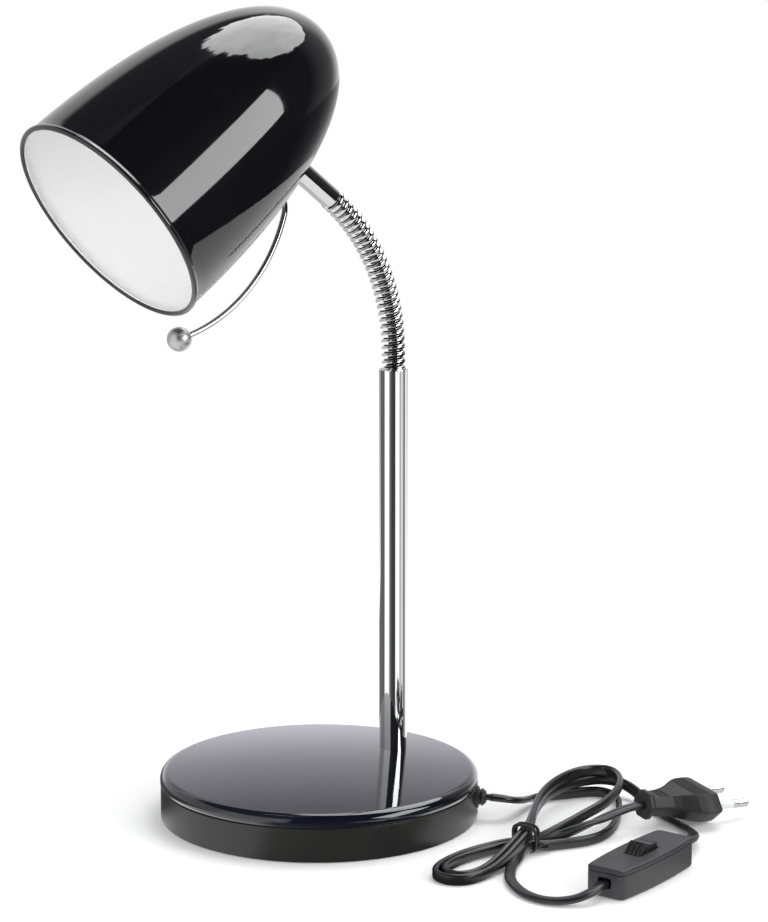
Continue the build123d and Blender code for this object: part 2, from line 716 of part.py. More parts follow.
with BuildPart() as holder_bracket:
    with BuildSketch(shade_section):
        with BuildLine():
            Polyline((seat[0] + washer_radius * sin(slope), seat[1] - washer_radius * cos(slope)),
                     (seat[0] - washer_radius * sin(slope), seat[1] + washer_radius * cos(slope)),
                     (wall_radius(knee_station) - knee_depth, knee_station),
                     (wall_radius(plate_station) - plate_depth, plate_station),
                     (-bracket_width / 2 - bracket_tail, plate_station))
        trace(line_width=bracket_thickness)
    extrude(amount=bracket_width / 2, both=True)
    with BuildSketch(wall_plane):
        Circle(m10_radius)
    extrude(amount=seat_depth + 2 * bracket_thickness, mode=Mode.SUBTRACT)
    with BuildSketch(shade_plane.offset(plate_station - bracket_thickness)):
        Circle(m10_radius + slip)
    extrude(amount=2 * bracket_thickness, mode=Mode.SUBTRACT)
export(holder_bracket, "holder_bracket")

washer_plane = wall_plane.offset(seat_depth + bracket_thickness)
with BuildPart() as ferrule_washer:
    with BuildSketch(washer_plane):
        Circle(washer_radius)
        Circle(m10_radius, mode=Mode.SUBTRACT)
    extrude(amount=washer_thickness)
export(ferrule_washer, "ferrule_washer")

with BuildPart() as ferrule_nut:
    with BuildSketch(washer_plane.offset(washer_thickness)):
        RegularPolygon(radius=m10_nut_flats / 2, side_count=6, major_radius=False)
        Circle(m10_radius, mode=Mode.SUBTRACT)
    extrude(amount=m10_nut_height)
export(ferrule_nut, "ferrule_nut")

# Lampholder, from the apex to the rim: cap, spigot and body, insert, screw shell and contact.
shade_turn = Axis(shade_plane.origin, shade_plane.z_dir)
cap_back = bracket_back - bracket_thickness - slip
cap_front = cap_back - cap_length
cable_mouth = cap_back - cap_shoulder - cap_hole_inset
cable_hole = Plane(origin=shade_plane.from_local_coords((0, 0, cable_mouth)), x_dir=shade_axis,
                   z_dir=shade_side)
with BuildPart() as holder_cap:
    with BuildSketch(shade_section):
        turned_face((m10_radius + slip, cap_back), (cap_radius - cap_shoulder, cap_back),
                    (cap_radius, cap_back - cap_shoulder), (cap_radius, cap_front),
                    (cap_radius - cap_wall, cap_front),
                    (cap_radius - cap_wall, cap_back - cap_shoulder - cap_wall / 2),
                    (cap_radius - cap_shoulder - cap_wall / 2, cap_back - cap_wall),
                    (m10_radius + slip, cap_back - cap_wall))
    revolve(axis=shade_turn)
    with BuildSketch(cable_hole):
        Circle(cable_radius + 3 * loose)
    extrude(amount=cap_radius + cap_wall, mode=Mode.SUBTRACT)
export(holder_cap, "holder_cap")

spigot_radius = cap_radius - cap_wall - slip
with BuildPart() as holder_body:
    with BuildSketch(shade_section):
        turned_face((spigot_radius, cap_front + holder_spigot), (spigot_radius, cap_front),
                    (holder_radius, cap_front), (holder_radius, cap_front - holder_length),
                    (holder_radius - holder_wall, cap_front - holder_length),
                    (holder_radius - holder_wall, cap_front - insert_thickness),
                    (holder_radius - holder_wall - 1, cap_front - insert_thickness),
                    (holder_radius - holder_wall - 1, cap_front - insert_thickness + 1),
                    (spigot_radius - holder_wall, cap_front - insert_thickness + 2),
                    (spigot_radius - holder_wall, cap_front + holder_spigot))
    revolve(axis=shade_turn)
export(holder_body, "holder_body")

insert_radius = spigot_radius - holder_wall - slip
insert_front = cap_front - insert_thickness + 2
with BuildPart() as holder_insert:
    with BuildSketch(shade_plane.offset(insert_front)):
        Circle(insert_radius)
    extrude(amount=insert_thickness)
    with BuildSketch(shade_plane.offset(insert_front + insert_thickness)):
        with Locations((0, -terminal_spread), (0, terminal_spread)):
            Circle(m3_radius + slip)
    extrude(amount=-insert_thickness / 2, mode=Mode.SUBTRACT)
export(holder_insert, "holder_insert")

with BuildPart() as terminal_screws:
    with BuildSketch(shade_plane.offset(insert_front + insert_thickness)):
        with Locations((0, -terminal_spread), (0, terminal_spread)):
            Circle(m3_head_radius)
    extrude(amount=m3_head_height)
    with BuildSketch(shade_plane.offset(insert_front + insert_thickness)):
        with Locations((0, -terminal_spread), (0, terminal_spread)):
            Circle(m3_radius)
    extrude(amount=-insert_thickness / 2 + slip)
export(terminal_screws, "terminal_screws")

shell_mouth = insert_front - lamp_shell_length
thread_foot = shell_mouth + lamp_shell_thread
shell_outer = lamp_shell_radius + lamp_shell_wall
neck_outer = lamp_shell_neck + lamp_shell_wall
with BuildPart() as lamp_screw_shell:
    with BuildSketch(shade_section):
        turned_face((contact_width, insert_front), (neck_outer, insert_front),
                    (neck_outer, thread_foot + lamp_shell_taper), (shell_outer, thread_foot),
                    (shell_outer, shell_mouth), (lamp_shell_radius, shell_mouth),
                    (lamp_shell_radius, thread_foot), (lamp_shell_neck, thread_foot + lamp_shell_taper),
                    (lamp_shell_neck, insert_front - lamp_shell_wall),
                    (contact_width, insert_front - lamp_shell_wall))
    revolve(axis=shade_turn)
export(lamp_screw_shell, "lamp_screw_shell")

# Centre contact: a leaf riveted flat on the insert, sprung towards the lamp's foot.
with BuildPart() as centre_contact:
    with BuildSketch(shade_section):
        with BuildLine():
            Polyline((-contact_width / 2 - 1, insert_front - contact_thickness / 2),
                     (contact_width / 2, insert_front - contact_thickness / 2),
                     (contact_width / 2 + 1, insert_front - 2 * contact_thickness),
                     (-contact_width / 2, insert_front - 6 * contact_thickness))
        trace(line_width=contact_thickness)
    extrude(amount=contact_width / 2, both=True)
export(centre_contact, "centre_contact")

with BuildPart() as holder_nipple:
    with BuildSketch(shade_plane.offset(bracket_back + m10_nut_height + 1)):
        Circle(m10_radius)
        Circle(holder_nipple_bore, mode=Mode.SUBTRACT)
    extrude(amount=-holder_nipple_length)
export(holder_nipple, "holder_nipple")

with BuildPart() as holder_nuts:
    for level in (bracket_back, cap_back - cap_wall - m10_nut_height):
        with BuildSketch(shade_plane.offset(level)):
            RegularPolygon(radius=m10_nut_flats / 2, side_count=6, major_radius=False)
            Circle(m10_radius + slip, mode=Mode.SUBTRACT)
        extrude(amount=m10_nut_height)
export(holder_nuts, "holder_nuts")

# ---- cable through the base and the pole, and from the ferrule to the lampholder ------------------
cable_top = pole_top + neck_stub - link_gap
pole_cable = cord_tube(
    [polar(gland_mouth, gland_azimuth, gland_height),
     polar(tray_inner - cable_level_length, gland_azimuth, gland_height),
     polar(tray_inner - cable_fall_length, gland_azimuth, cable_level),
     polar(clamp_circle - cable_clamp_length, gland_azimuth, cable_level),
     (pole_offset, -cable_rise_lead, cable_level), (pole_offset, 0, cable_level),
     (pole_offset, 0, cable_top)],
    cable_radius)
export(pole_cable, "pole_cable")

shade_cable = cord_tube(
    [neck_end.from_local_coords((0, 0, ferrule_start + shade_cable_start))]
    + [shade_section.from_local_coords((distance, attach_station + rise, 0))
       for distance, rise in shade_cable_route]
    + [shade_section.from_local_coords((cap_radius + loose, cable_mouth, 0)),
       shade_section.from_local_coords((cap_radius - cap_entry, cable_mouth, 0))],
    cable_radius)
export(shade_cable, "shade_cable")

# ---- gland and clamp ------------------------------------------------------------------------------
with BuildPart() as cord_gland:
    with BuildSketch(section(gland_plane)):
        bore = cable_radius + slip
        inside = tray_inner - 4 * slip
        outside = tray_radius + slip
        turned_face((bore, inside - tray_wall / 2), (gland_neck_radius + 1, inside - tray_wall / 2),
                    (gland_neck_radius + 1, inside), (gland_neck_radius, inside),
                    (gland_neck_radius, outside), (gland_flange_radius, outside),
                    (gland_flange_radius, outside + gland_flange_rim),
                    (gland_nose_root, tray_radius + gland_flange),
                    (gland_nose_radius, gland_mouth), (bore, gland_mouth))
    revolve(axis=Axis(gland_plane.origin, gland_plane.z_dir))
export(cord_gland, "cord_gland")

with BuildPart() as cable_clamp:
    with BuildSketch(clamp_frame.offset(clamp_level)):
        RectangleRounded(clamp_length, clamp_width, clamp_width / 3)
        with Locations(*clamp_screw_places):
            Circle(m3_radius + slip, mode=Mode.SUBTRACT)
    extrude(amount=clamp_thickness)
export(cable_clamp, "cable_clamp")

with BuildPart() as clamp_screws:
    with BuildSketch(clamp_frame.offset(clamp_level + clamp_thickness)):
        with Locations(*clamp_screw_places):
            Circle(m3_head_radius)
    extrude(amount=m3_head_height)
    with BuildSketch(clamp_frame.offset(clamp_level + clamp_thickness)):
        with Locations(*clamp_screw_places):
            Circle(m3_radius)
    extrude(amount=slip - clamp_screw_length)
export(clamp_screws, "clamp_screws")

# ---- inline switch: two shells, a rocker on its axle, and the brass inside ------------------------
switch_frame = Plane(origin=switch_place, x_dir=polar(1, switch_turn), z_dir=(0, 0, 1))
switch_split = switch_height / 2
near_entry = Plane(origin=switch_frame.from_local_coords((-switch_length, 0, switch_split)),
                   x_dir=(0, 0, 1), z_dir=switch_frame.x_dir)


def switch_plan(inset):
    """The switch's outline seen from above: straight ends and gently bowed sides."""
    half_length = switch_length / 2 - inset
    half_end = switch_end_width / 2 - inset
    half_width = switch_width / 2 - inset
    with BuildLine() as edge:
        ThreePointArc((-half_length, half_end), (0, half_width), (half_length, half_end))
        Line((half_length, half_end), (half_length, -half_end))
        ThreePointArc((half_length, -half_end), (0, -half_width), (-half_length, -half_end))
        Line((-half_length, -half_end), (-half_length, half_end))
    make_face(edge.edges())


with BuildPart() as switch_base:
    with BuildSketch(switch_frame):
        switch_plan(0)
    extrude(amount=switch_split)
    fillet(switch_base.edges().group_by(Axis.Z)[0], radius=switch_edge)
    with BuildSketch(switch_frame.offset(switch_wall)):
        switch_plan(switch_wall)
    extrude(amount=switch_height, mode=Mode.SUBTRACT)
    with BuildSketch(switch_frame.offset(switch_wall / 2)):
        with Locations(*switch_posts):
            Circle(switch_post_radius)
    extrude(amount=switch_split - switch_wall / 2)
    with BuildSketch(switch_frame):
        with Locations(*switch_posts):
            Circle(switch_screw_head + slip)
    extrude(amount=switch_screw_head_height, mode=Mode.SUBTRACT)
    with BuildSketch(switch_frame):
        with Locations(*switch_posts):
            Circle(switch_screw_radius + slip)
    extrude(amount=switch_height, mode=Mode.SUBTRACT)
    with BuildSketch(near_entry):
        Circle(cable_radius + loose)
    extrude(amount=2 * switch_length, mode=Mode.SUBTRACT)
export(switch_base, "switch_base")

roof = switch_height - switch_wall
pivot = Vector(0, 0, rocker_pivot)
with BuildPart() as switch_cover:
    with BuildSketch(switch_frame.offset(switch_split)):
        switch_plan(0)
    extrude(amount=switch_height - switch_split)
    fillet(switch_cover.edges().group_by(Axis.Z)[-1], radius=switch_edge)
    with BuildSketch(switch_frame.offset(switch_split)):
        switch_plan(switch_wall)
    extrude(amount=roof - switch_split, mode=Mode.SUBTRACT)
    with BuildSketch(switch_frame.offset(switch_split)):
        with Locations(*switch_posts):
            Circle(switch_post_radius)
    extrude(amount=roof - switch_split)
    with BuildSketch(switch_frame.offset(roof - rib_depth)):
        Rectangle(rib_length, rocker_width + 2 * (loose + rib_wall))
        Rectangle(rib_length, rocker_width + 2 * loose, mode=Mode.SUBTRACT)
    extrude(amount=rib_depth)
    with BuildSketch(switch_frame.offset(roof)):
        Rectangle(window_length, rocker_width + 2 * loose)
    extrude(amount=switch_wall, mode=Mode.SUBTRACT)
    with BuildSketch(section(switch_frame)):
        with Locations((0, rocker_pivot)):
            Circle(rocker_axle + slip)
    extrude(amount=rocker_width / 2 + loose + rib_wall, both=True, mode=Mode.SUBTRACT)
    with BuildSketch(switch_frame.offset(switch_split)):
        with Locations(*switch_posts):
            Circle(switch_screw_radius + slip)
    extrude(amount=(roof - switch_split) * 0.8, mode=Mode.SUBTRACT)
    with BuildSketch(near_entry):
        Circle(cable_radius + loose)
    extrude(amount=2 * switch_length, mode=Mode.SUBTRACT)
export(switch_cover, "switch_cover")

with BuildPart() as switch_screws:
    with BuildSketch(switch_frame.offset(switch_screw_head_height)):
        with Locations(*switch_posts):
            Circle(switch_screw_head)
    extrude(amount=-switch_screw_head_height + slip)
    with BuildSketch(switch_frame.offset(switch_screw_head_height)):
        with Locations(*switch_posts):
            Circle(switch_screw_radius)
    extrude(amount=switch_screw_length)
export(switch_screws, "switch_screws")

# Rocker: two raised wings over a waist; at rest the end towards the plug stands up.
rest_tilt = radians(rocker_throw / 2)
tilted = Plane(origin=switch_frame.from_local_coords(pivot),
               x_dir=switch_frame.x_dir * cos(rest_tilt) + switch_frame.z_dir * sin(rest_tilt),
               z_dir=switch_frame.z_dir * cos(rest_tilt) - switch_frame.x_dir * sin(rest_tilt))
wing_end = rocker_length / 2
with BuildPart() as switch_rocker:
    with BuildSketch(section(tilted)):
        turned_face((-wing_end, rocker_side), (-rocker_hub_length / 2, -rocker_hub),
                    (rocker_hub_length / 2, -rocker_hub), (wing_end, rocker_side),
                    (wing_end, rocker_wing - 1), (wing_end - rocker_crest, rocker_wing),
                    (0, rocker_waist), (rocker_crest - wing_end, rocker_wing),
                    (-wing_end, rocker_wing - 1))
    extrude(amount=rocker_width / 2, both=True)
    with BuildSketch(section(tilted)):
        Circle(rocker_axle)
    extrude(amount=rocker_width / 2 + loose + rib_wall, both=True)
export(switch_rocker, "switch_rocker")

with BuildPart() as switch_terminals:
    with BuildSketch(switch_frame.offset(switch_wall)):
        with Locations((-terminal_place, 0), (terminal_place, 0)):
            Rectangle(terminal_length, terminal_width)
    extrude(amount=terminal_height)
    chamfer(switch_terminals.edges().group_by(Axis.Z)[-1], length=terminal_edge)
export(switch_terminals, "switch_terminals")

# Contact spring: a strip on both terminals that rises under the rocker's hub.
bridge_level = switch_wall + terminal_height + bridge_thickness / 2
with BuildPart() as switch_spring:
    with BuildSketch(section(switch_frame)):
        with BuildLine():
            Polyline((-terminal_place, bridge_level), (-rocker_hub_length / 2, bridge_level),
                     (0, bridge_level + bridge_rise), (rocker_hub_length / 2, bridge_level),
                     (terminal_place, bridge_level))
        trace(line_width=bridge_thickness)
    extrude(amount=bridge_width / 2, both=True)
export(switch_spring, "switch_spring")

# ---- plug: z runs along the pins, x across them --------------------------------------------------
heading, pitch, roll = radians(plug_heading), radians(plug_pitch), radians(plug_roll)
pin_way = Vector(cos(heading) * cos(pitch), sin(heading) * cos(pitch), -sin(pitch))
flat_way = Vector(-sin(heading), cos(heading), 0)
lift_way = pin_way.cross(flat_way)
plug_frame = Plane(origin=plug_nose, x_dir=flat_way * cos(roll) + lift_way * sin(roll), z_dir=pin_way)
flange_station = plug_sections[-1][0]
plug_back = flange_station + plug_flange_thickness
pin_places = [(-pin_spread / 2, 0), (pin_spread / 2, 0)]

with BuildPart() as plug_body:
    for station, width_share, flat_share, thickness_share in plug_sections:
        half_width = plug_width * width_share / 2
        half_flat = plug_width * flat_share / 2
        half_thickness = plug_thickness * thickness_share / 2
        with BuildSketch(plug_frame.offset(-station)):
            turned_face((half_width, 0), (half_flat, half_thickness), (-half_flat, half_thickness),
                        (-half_width, 0), (-half_flat, -half_thickness), (half_flat, -half_thickness))
    loft(ruled=True)
    with BuildSketch(plug_frame.offset(-flange_station)):
        RegularPolygon(radius=plug_flange_radius, side_count=6)
    extrude(amount=-plug_flange_thickness)
    for turn in range(grip_count):
        with BuildSketch(plug_frame.offset(-grip_start - turn * grip_pitch)):
            for side in (-1, 1):
                with Locations((0, side * plug_thickness / 2)):
                    Rectangle(grip_width, 2 * grip_groove)
        extrude(amount=-grip_pitch / 2, mode=Mode.SUBTRACT)
    with BuildSketch(plug_frame):
        with Locations(*pin_places):
            Circle(pin_core_radius + slip)
    extrude(amount=-pin_root, mode=Mode.SUBTRACT)
    with BuildSketch(plug_frame.offset(-plug_back)):
        Circle(cable_radius + loose)
    extrude(amount=plug_entry, mode=Mode.SUBTRACT)
export(plug_body, "plug_body")

with BuildPart() as plug_pins:
    with BuildSketch(plug_frame.offset(slip - pin_root)):
        with Locations(*pin_places):
            Circle(pin_core_radius)
    extrude(amount=pin_root + pin_sleeve_length)
    with BuildSketch(plug_frame.offset(pin_sleeve_length)):
        with Locations(*pin_places):
            Circle(pin_radius)
    extrude(amount=pin_length - pin_sleeve_length)
    tips = plug_pins.edges().filter_by(GeomType.CIRCLE).sort_by(Axis(plug_frame.origin, pin_way))[-2:]
    chamfer(tips, length=pin_tip_chamfer)
export(plug_pins, "plug_pins")

with BuildPart() as pin_sleeves:
    with BuildSketch(plug_frame.offset(slip)):
        with Locations(*pin_places):
            Circle(pin_radius)
            Circle(pin_core_radius + slip, mode=Mode.SUBTRACT)
    extrude(amount=pin_sleeve_length - 2 * slip)
export(pin_sleeves, "pin_sleeves")

# ---- free cord: plain tubes between the gland, the hank, the switch and the plug -----------------
cord_base_lead = cord_tube([polar(gland_mouth + loose, gland_azimuth, gland_height)] + base_lead_route,
                           cable_radius)
export(cord_base_lead, "cord_base_lead")

cord_switch_lead = cord_tube(
    switch_lead_route + [
        switch_frame.from_local_coords((-switch_length / 2 - switch_entry_lead, 0, switch_split)),
        switch_frame.from_local_coords((-switch_length / 2 + switch_entry, 0, switch_split))],
    cable_radius)
export(cord_switch_lead, "cord_switch_lead")

cord_switch_tail = cord_tube(
    [switch_frame.from_local_coords((switch_length / 2 - switch_entry, 0, switch_split)),
     switch_frame.from_local_coords((switch_length / 2 + switch_entry_lead, 0, switch_split))]
    + switch_tail_route,
    cable_radius)
export(cord_switch_tail, "cord_switch_tail")

cord_plug_lead = cord_tube(
    [plug_frame.from_local_coords((0, 0, plug_entry - plug_back - loose))] + plug_lead_route, cable_radius)
export(cord_plug_lead, "cord_plug_lead")

# Hank: the outer shape of the bundled turns. Two loops stand on edge and meet in the waist under the
# tie, one turn lies flat in front of the far loop, and the top falls off towards the near loop.
tie_frame = Plane(origin=(*tie_place, 0), x_dir=polar(1, tie_turn + 90), z_dir=polar(1, tie_turn))
tie_plan = Plane(origin=(*tie_place, 0), x_dir=polar(1, tie_turn), z_dir=(0, 0, 1))
tie_side = Plane(origin=(*tie_place, 0), x_dir=polar(1, tie_turn), z_dir=polar(1, tie_turn - 90))
waist_bottom = tie_wire + loose + slip
waist_middle = (waist_bottom + waist_height) / 2


def spline_face(points, mode=Mode.ADD):
    """A face inside a smooth closed line through the points, in the current sketch."""
    with BuildLine() as edge:
        Spline(*points, periodic=True)
    make_face(edge.edges(), mode=mode)


with BuildPart() as cord_hank:
    with BuildSketch(Plane.XY):
        spline_face(hank_far_rim)
        spline_face(hank_far_hole, Mode.SUBTRACT)
    extrude(amount=hank_far_height)
    with BuildSketch(Plane.XY):
        spline_face(hank_front_rim)
    extrude(amount=hank_front_height)
    with BuildSketch(Plane.XY):
        spline_face(hank_near_rim)
        spline_face(hank_near_hole, Mode.SUBTRACT)
    extrude(amount=hank_near_height)
    with BuildSketch(tie_plan):
        turned_face(*hank_shoulder)
    extrude(amount=waist_height)
    with BuildSketch(tie_side):
        turned_face(*hank_top_line, (hank_top_line[-1][0], 2 * hank_far_height),
                    (hank_top_line[0][0], 2 * hank_far_height))
    extrude(amount=hank_top_line[-1][0], both=True, mode=Mode.SUBTRACT)
    with BuildSketch(tie_frame.offset(-tie_width / 2 - loose)):
        Rectangle(4 * tie_span, 4 * hank_far_height)
    extrude(amount=tie_width + 2 * loose, mode=Mode.SUBTRACT)
    with BuildSketch(tie_frame.offset(-waist_length / 2)):
        with Locations((0, waist_middle)):
            Rectangle(waist_width, waist_height - waist_bottom)
    extrude(amount=waist_length)
export(cord_hank, "cord_hank")

# Tie: a wire bent round the waist of the hank.
tie_top = waist_height + loose + tie_wire
with BuildPart() as hank_tie:
    with BuildSketch(tie_frame.offset(-tie_width / 2)):
        with Locations((0, slip + tie_top / 2)):
            RectangleRounded(tie_span + 2 * tie_wire, tie_top, 1.5 * tie_wire)
            RectangleRounded(tie_span, tie_top - 2 * tie_wire, tie_wire / 2, mode=Mode.SUBTRACT)
    extrude(amount=tie_width)
export(hank_tie, "hank_tie")
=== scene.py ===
"""Gooseneck desk lamp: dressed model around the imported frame. Metres, +Z up, the base's centre at the origin."""
import bmesh
import bpy
import numpy as np
from mathutils import Matrix, Vector


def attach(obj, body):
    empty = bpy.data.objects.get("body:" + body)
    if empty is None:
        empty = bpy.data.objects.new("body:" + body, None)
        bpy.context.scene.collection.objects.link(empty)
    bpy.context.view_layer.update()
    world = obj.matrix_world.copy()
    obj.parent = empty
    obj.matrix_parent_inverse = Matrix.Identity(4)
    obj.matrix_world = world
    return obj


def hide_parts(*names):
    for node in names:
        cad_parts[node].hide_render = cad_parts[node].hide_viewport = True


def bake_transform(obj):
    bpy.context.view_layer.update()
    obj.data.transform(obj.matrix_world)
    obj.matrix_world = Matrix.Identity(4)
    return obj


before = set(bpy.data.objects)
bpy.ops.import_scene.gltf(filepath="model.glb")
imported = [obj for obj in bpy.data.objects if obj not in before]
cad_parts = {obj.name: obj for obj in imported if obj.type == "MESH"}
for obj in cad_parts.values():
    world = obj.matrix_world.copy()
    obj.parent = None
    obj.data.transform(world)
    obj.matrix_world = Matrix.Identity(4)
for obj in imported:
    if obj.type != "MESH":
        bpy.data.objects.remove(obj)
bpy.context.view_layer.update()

# ---- camera -----------------------------------------------------------------------------------
# A long lens a little above the shade's rim, aimed down at the pole.
camera_place = (-0.7347, -1.0113, 0.4055)
camera_heading = np.radians(52.6)  # from +X towards +Y
camera_pitch = np.radians(10.7)
camera_lens = 107.2
camera_data = bpy.data.cameras.new("camera")
camera_data.lens = camera_lens
camera_data.sensor_width = 36.0
camera_data.clip_end = 50.0
camera = bpy.data.objects.new("camera", camera_data)
camera.location = camera_place
camera.rotation_euler = Vector((np.cos(camera_heading) * np.cos(camera_pitch),
                                np.sin(camera_heading) * np.cos(camera_pitch),
                                -np.sin(camera_pitch))).to_track_quat("-Z", "Y").to_euler()
bpy.context.scene.collection.objects.link(camera)
bpy.context.scene.camera = camera
bpy.context.scene.view_settings.view_transform = "Standard"


def wire(tree, source, target):
    """Joins an output socket to an input socket."""
    tree.links.new(source, target)


def unit(vector):
    """A vector, or each row of an array of them, brought to length one."""
    vector = np.asarray(vector, float)
    return vector / np.linalg.norm(vector, axis=-1, keepdims=True)


def circle(steps):
    """Even angles once round, the last one a step before the first."""
    return np.linspace(0, 2 * np.pi, steps, endpoint=False)


up = np.array((0, 0, 1.0))


# ---- surface finish ---------------------------------------------------------------------------
# What every finish here shares: a fine grain that raises the surface a little, and slow smudges
# that change its gloss and its colour.
touch = bpy.data.node_groups.new("touched_surface", "ShaderNodeTree")
for way, labels in (("INPUT", ("Colour", "Other Colour", "Grain Scale", "Grain Depth", "Gloss Low", "Gloss High",
                               "Smudge Scale")), ("OUTPUT", ("Colour", "Roughness", "Normal"))):
    for label in labels:
        kind = "Color" if "Colour" in label else "Vector" if label == "Normal" else "Float"
        touch.interface.new_socket(label, in_out=way, socket_type=f"NodeSocket{kind}")
touch_in, touch_out, touch_place, grain, smudge, smudge_gloss, colour_mix, bump = (
    touch.nodes.new(kind) for kind in ("NodeGroupInput", "NodeGroupOutput", "ShaderNodeTexCoord", "ShaderNodeTexNoise",
                                       "ShaderNodeTexNoise", "ShaderNodeMapRange", "ShaderNodeMix", "ShaderNodeBump"))
grain.inputs["Detail"].default_value = 3.0
smudge.inputs["Detail"].default_value = 4.0
smudge.inputs["Distortion"].default_value = 0.6
smudge_gloss.inputs["From Min"].default_value = 0.3
smudge_gloss.inputs["From Max"].default_value = 0.7
colour_mix.data_type = "RGBA"
bump.inputs["Strength"].default_value = 1.0
for source, output, target, entry in (
        (touch_place, "Object", grain, "Vector"), (touch_place, "Object", smudge, "Vector"),
        (touch_in, "Grain Scale", grain, "Scale"), (touch_in, "Smudge Scale", smudge, "Scale"),
        (smudge, "Fac", smudge_gloss, "Value"), (touch_in, "Gloss Low", smudge_gloss, "To Min"),
        (touch_in, "Gloss High", smudge_gloss, "To Max"), (smudge, "Fac", colour_mix, "Factor"),
        (touch_in, "Colour", colour_mix, "A"), (touch_in, "Other Colour", colour_mix, "B"),
        (grain, "Fac", bump, "Height"), (touch_in, "Grain Depth", bump, "Distance"),
        (colour_mix, "Result", touch_out, "Colour"), (smudge_gloss, "Result", touch_out, "Roughness"),
        (bump, "Normal", touch_out, "Normal")):
    wire(touch, source.outputs[output], target.inputs[entry])


def surface_finish(name, colour, other, gloss, grain_scale, grain_depth, smudge_scale=35.0, **sockets):
    """A finish from two near colours, the lowest and highest roughness, and a grain's scale and
    depth. Further words set the shader's own sockets."""
    material = bpy.data.materials.new(name)
    material.use_nodes = True
    tree = material.node_tree
    shader = tree.nodes["Principled BSDF"]
    life = tree.nodes.new("ShaderNodeGroup")
    life.node_tree = touch
    life.inputs["Colour"].default_value = (*colour, 1)
    life.inputs["Other Colour"].default_value = (*other, 1)
    life.inputs["Gloss Low"].default_value, life.inputs["Gloss High"].default_value = gloss
    life.inputs["Grain Scale"].default_value = grain_scale
    life.inputs["Grain Depth"].default_value = grain_depth
    life.inputs["Smudge Scale"].default_value = smudge_scale
    wire(tree, life.outputs["Colour"], shader.inputs["Base Color"])
    wire(tree, life.outputs["Roughness"], shader.inputs["Roughness"])
    wire(tree, life.outputs["Normal"], shader.inputs["Normal"])
    for socket, value in sockets.items():
        shader.inputs[socket.replace("_", " ")].default_value = value
    return material


def grid_faces(rows, columns, ring=False):
    """Quads between the neighbours of a grid whose columns close on themselves, and whose rows do
    too where it is a ring."""
    row, column = np.meshgrid(np.arange(rows if ring else rows - 1), np.arange(columns), indexing="ij")
    below, beside = (row + 1) % rows, (column + 1) % columns
    return np.stack([row * columns + column, row * columns + beside, below * columns + beside,
                     below * columns + column], -1).reshape(-1, 4)


def end_faces(rows, columns):
    """The first and the last row of a grid, each as one face that closes it."""
    return [range(columns), range((rows - 1) * columns, rows * columns)]


def make_piece(name, points, faces, finishes, face_finish=None, caps=()):
    """A mesh object from points, quads and end caps, with doubled points merged and faces outwards."""
    mesh = bpy.data.meshes.new(name)
    mesh.from_pydata(np.asarray(points).reshape(-1, 3).tolist(), [],
                     np.asarray(faces).tolist() + [list(cap) for cap in caps])
    for finish in finishes:
        mesh.materials.append(finish)
    if face_finish is not None:
        mesh.polygons.foreach_set("material_index", np.asarray(face_finish, np.int32))
    work = bmesh.new()
    work.from_mesh(mesh)
    bmesh.ops.remove_doubles(work, verts=work.verts, dist=2e-7)
    bmesh.ops.recalc_face_normals(work, faces=work.faces)
    work.to_mesh(mesh)
    work.free()
    mesh.polygons.foreach_set("use_smooth", np.ones(len(mesh.polygons), bool))
    piece = bpy.data.objects.new(name, mesh)
    bpy.context.scene.collection.objects.link(piece)
    return piece


def closed_piece(name, points, finish):
    """A piece of one finish from rows of points, its first and last row closed by a face."""
    grid = points.shape[:2]
    return make_piece(name, points, grid_faces(*grid), [finish], caps=end_faces(*grid))


# ---- cord -------------------------------------------------------------------------------------
# Flat black twin cord, 5.2 x 3.1 mm. It leaves the gland, is bundled in a hank whose turns stand on
# edge, and lies flat on its way to the switch; a second length runs from the switch to the plug.
cord_width = 0.0052
cord_thickness = 0.0031
cord_finish = surface_finish("cord_sheath", (0.007, 0.007, 0.0075), (0.013, 0.013, 0.014), (0.24, 0.36),
                             900.0, 0.00005, 60.0, Specular_IOR_Level=0.62)

# The line's points in millimetres, and how far the cord is turned on its edge there, from 0 to 1.
gland_to_switch = [
    (56.8, -58.8, 11, 0), (60.5, -62.6, 10.7, 0), (67, -63.5, 8.8, 0), (75, -60, 6.3, 0), (84, -55, 4.2, 0.3),
    (94, -53.5, 3, 0.7), (104, -56, 2.6, 1), (113, -58.6, 2.6, 1), (120, -62, 2.6, 1), (122.5, -69, 2.6, 1),
    (119.5, -78, 2.6, 1), (112, -87.5, 2.6, 1), (103, -96.5, 2.6, 1), (94, -104.5, 2.6, 1), (85, -110.8, 2.6, 1),
    (76, -114.6, 2.6, 1), (68, -115.3, 2.6, 1), (60, -113.5, 2.6, 1), (53, -111, 2.6, 1), (46, -109.5, 3, 1),
    (40.5, -107.5, 4.1, 1), (34, -109.8, 3.6, 1), (26, -114.5, 2.4, 0.6), (18.5, -119.5, 1.8, 0.2),
    (12.5, -125.5, 1.6, 0), (7, -132, 1.6, 0), (2.5, -141, 1.6, 0), (-0.5, -152, 1.6, 0), (1.5, -163, 1.6, 0),
    (9, -171, 2.6, 0), (17.5, -174.2, 5.2, 0), (27.2, -171.3, 6.7, 0), (34.9, -169.1, 6.7, 0)]
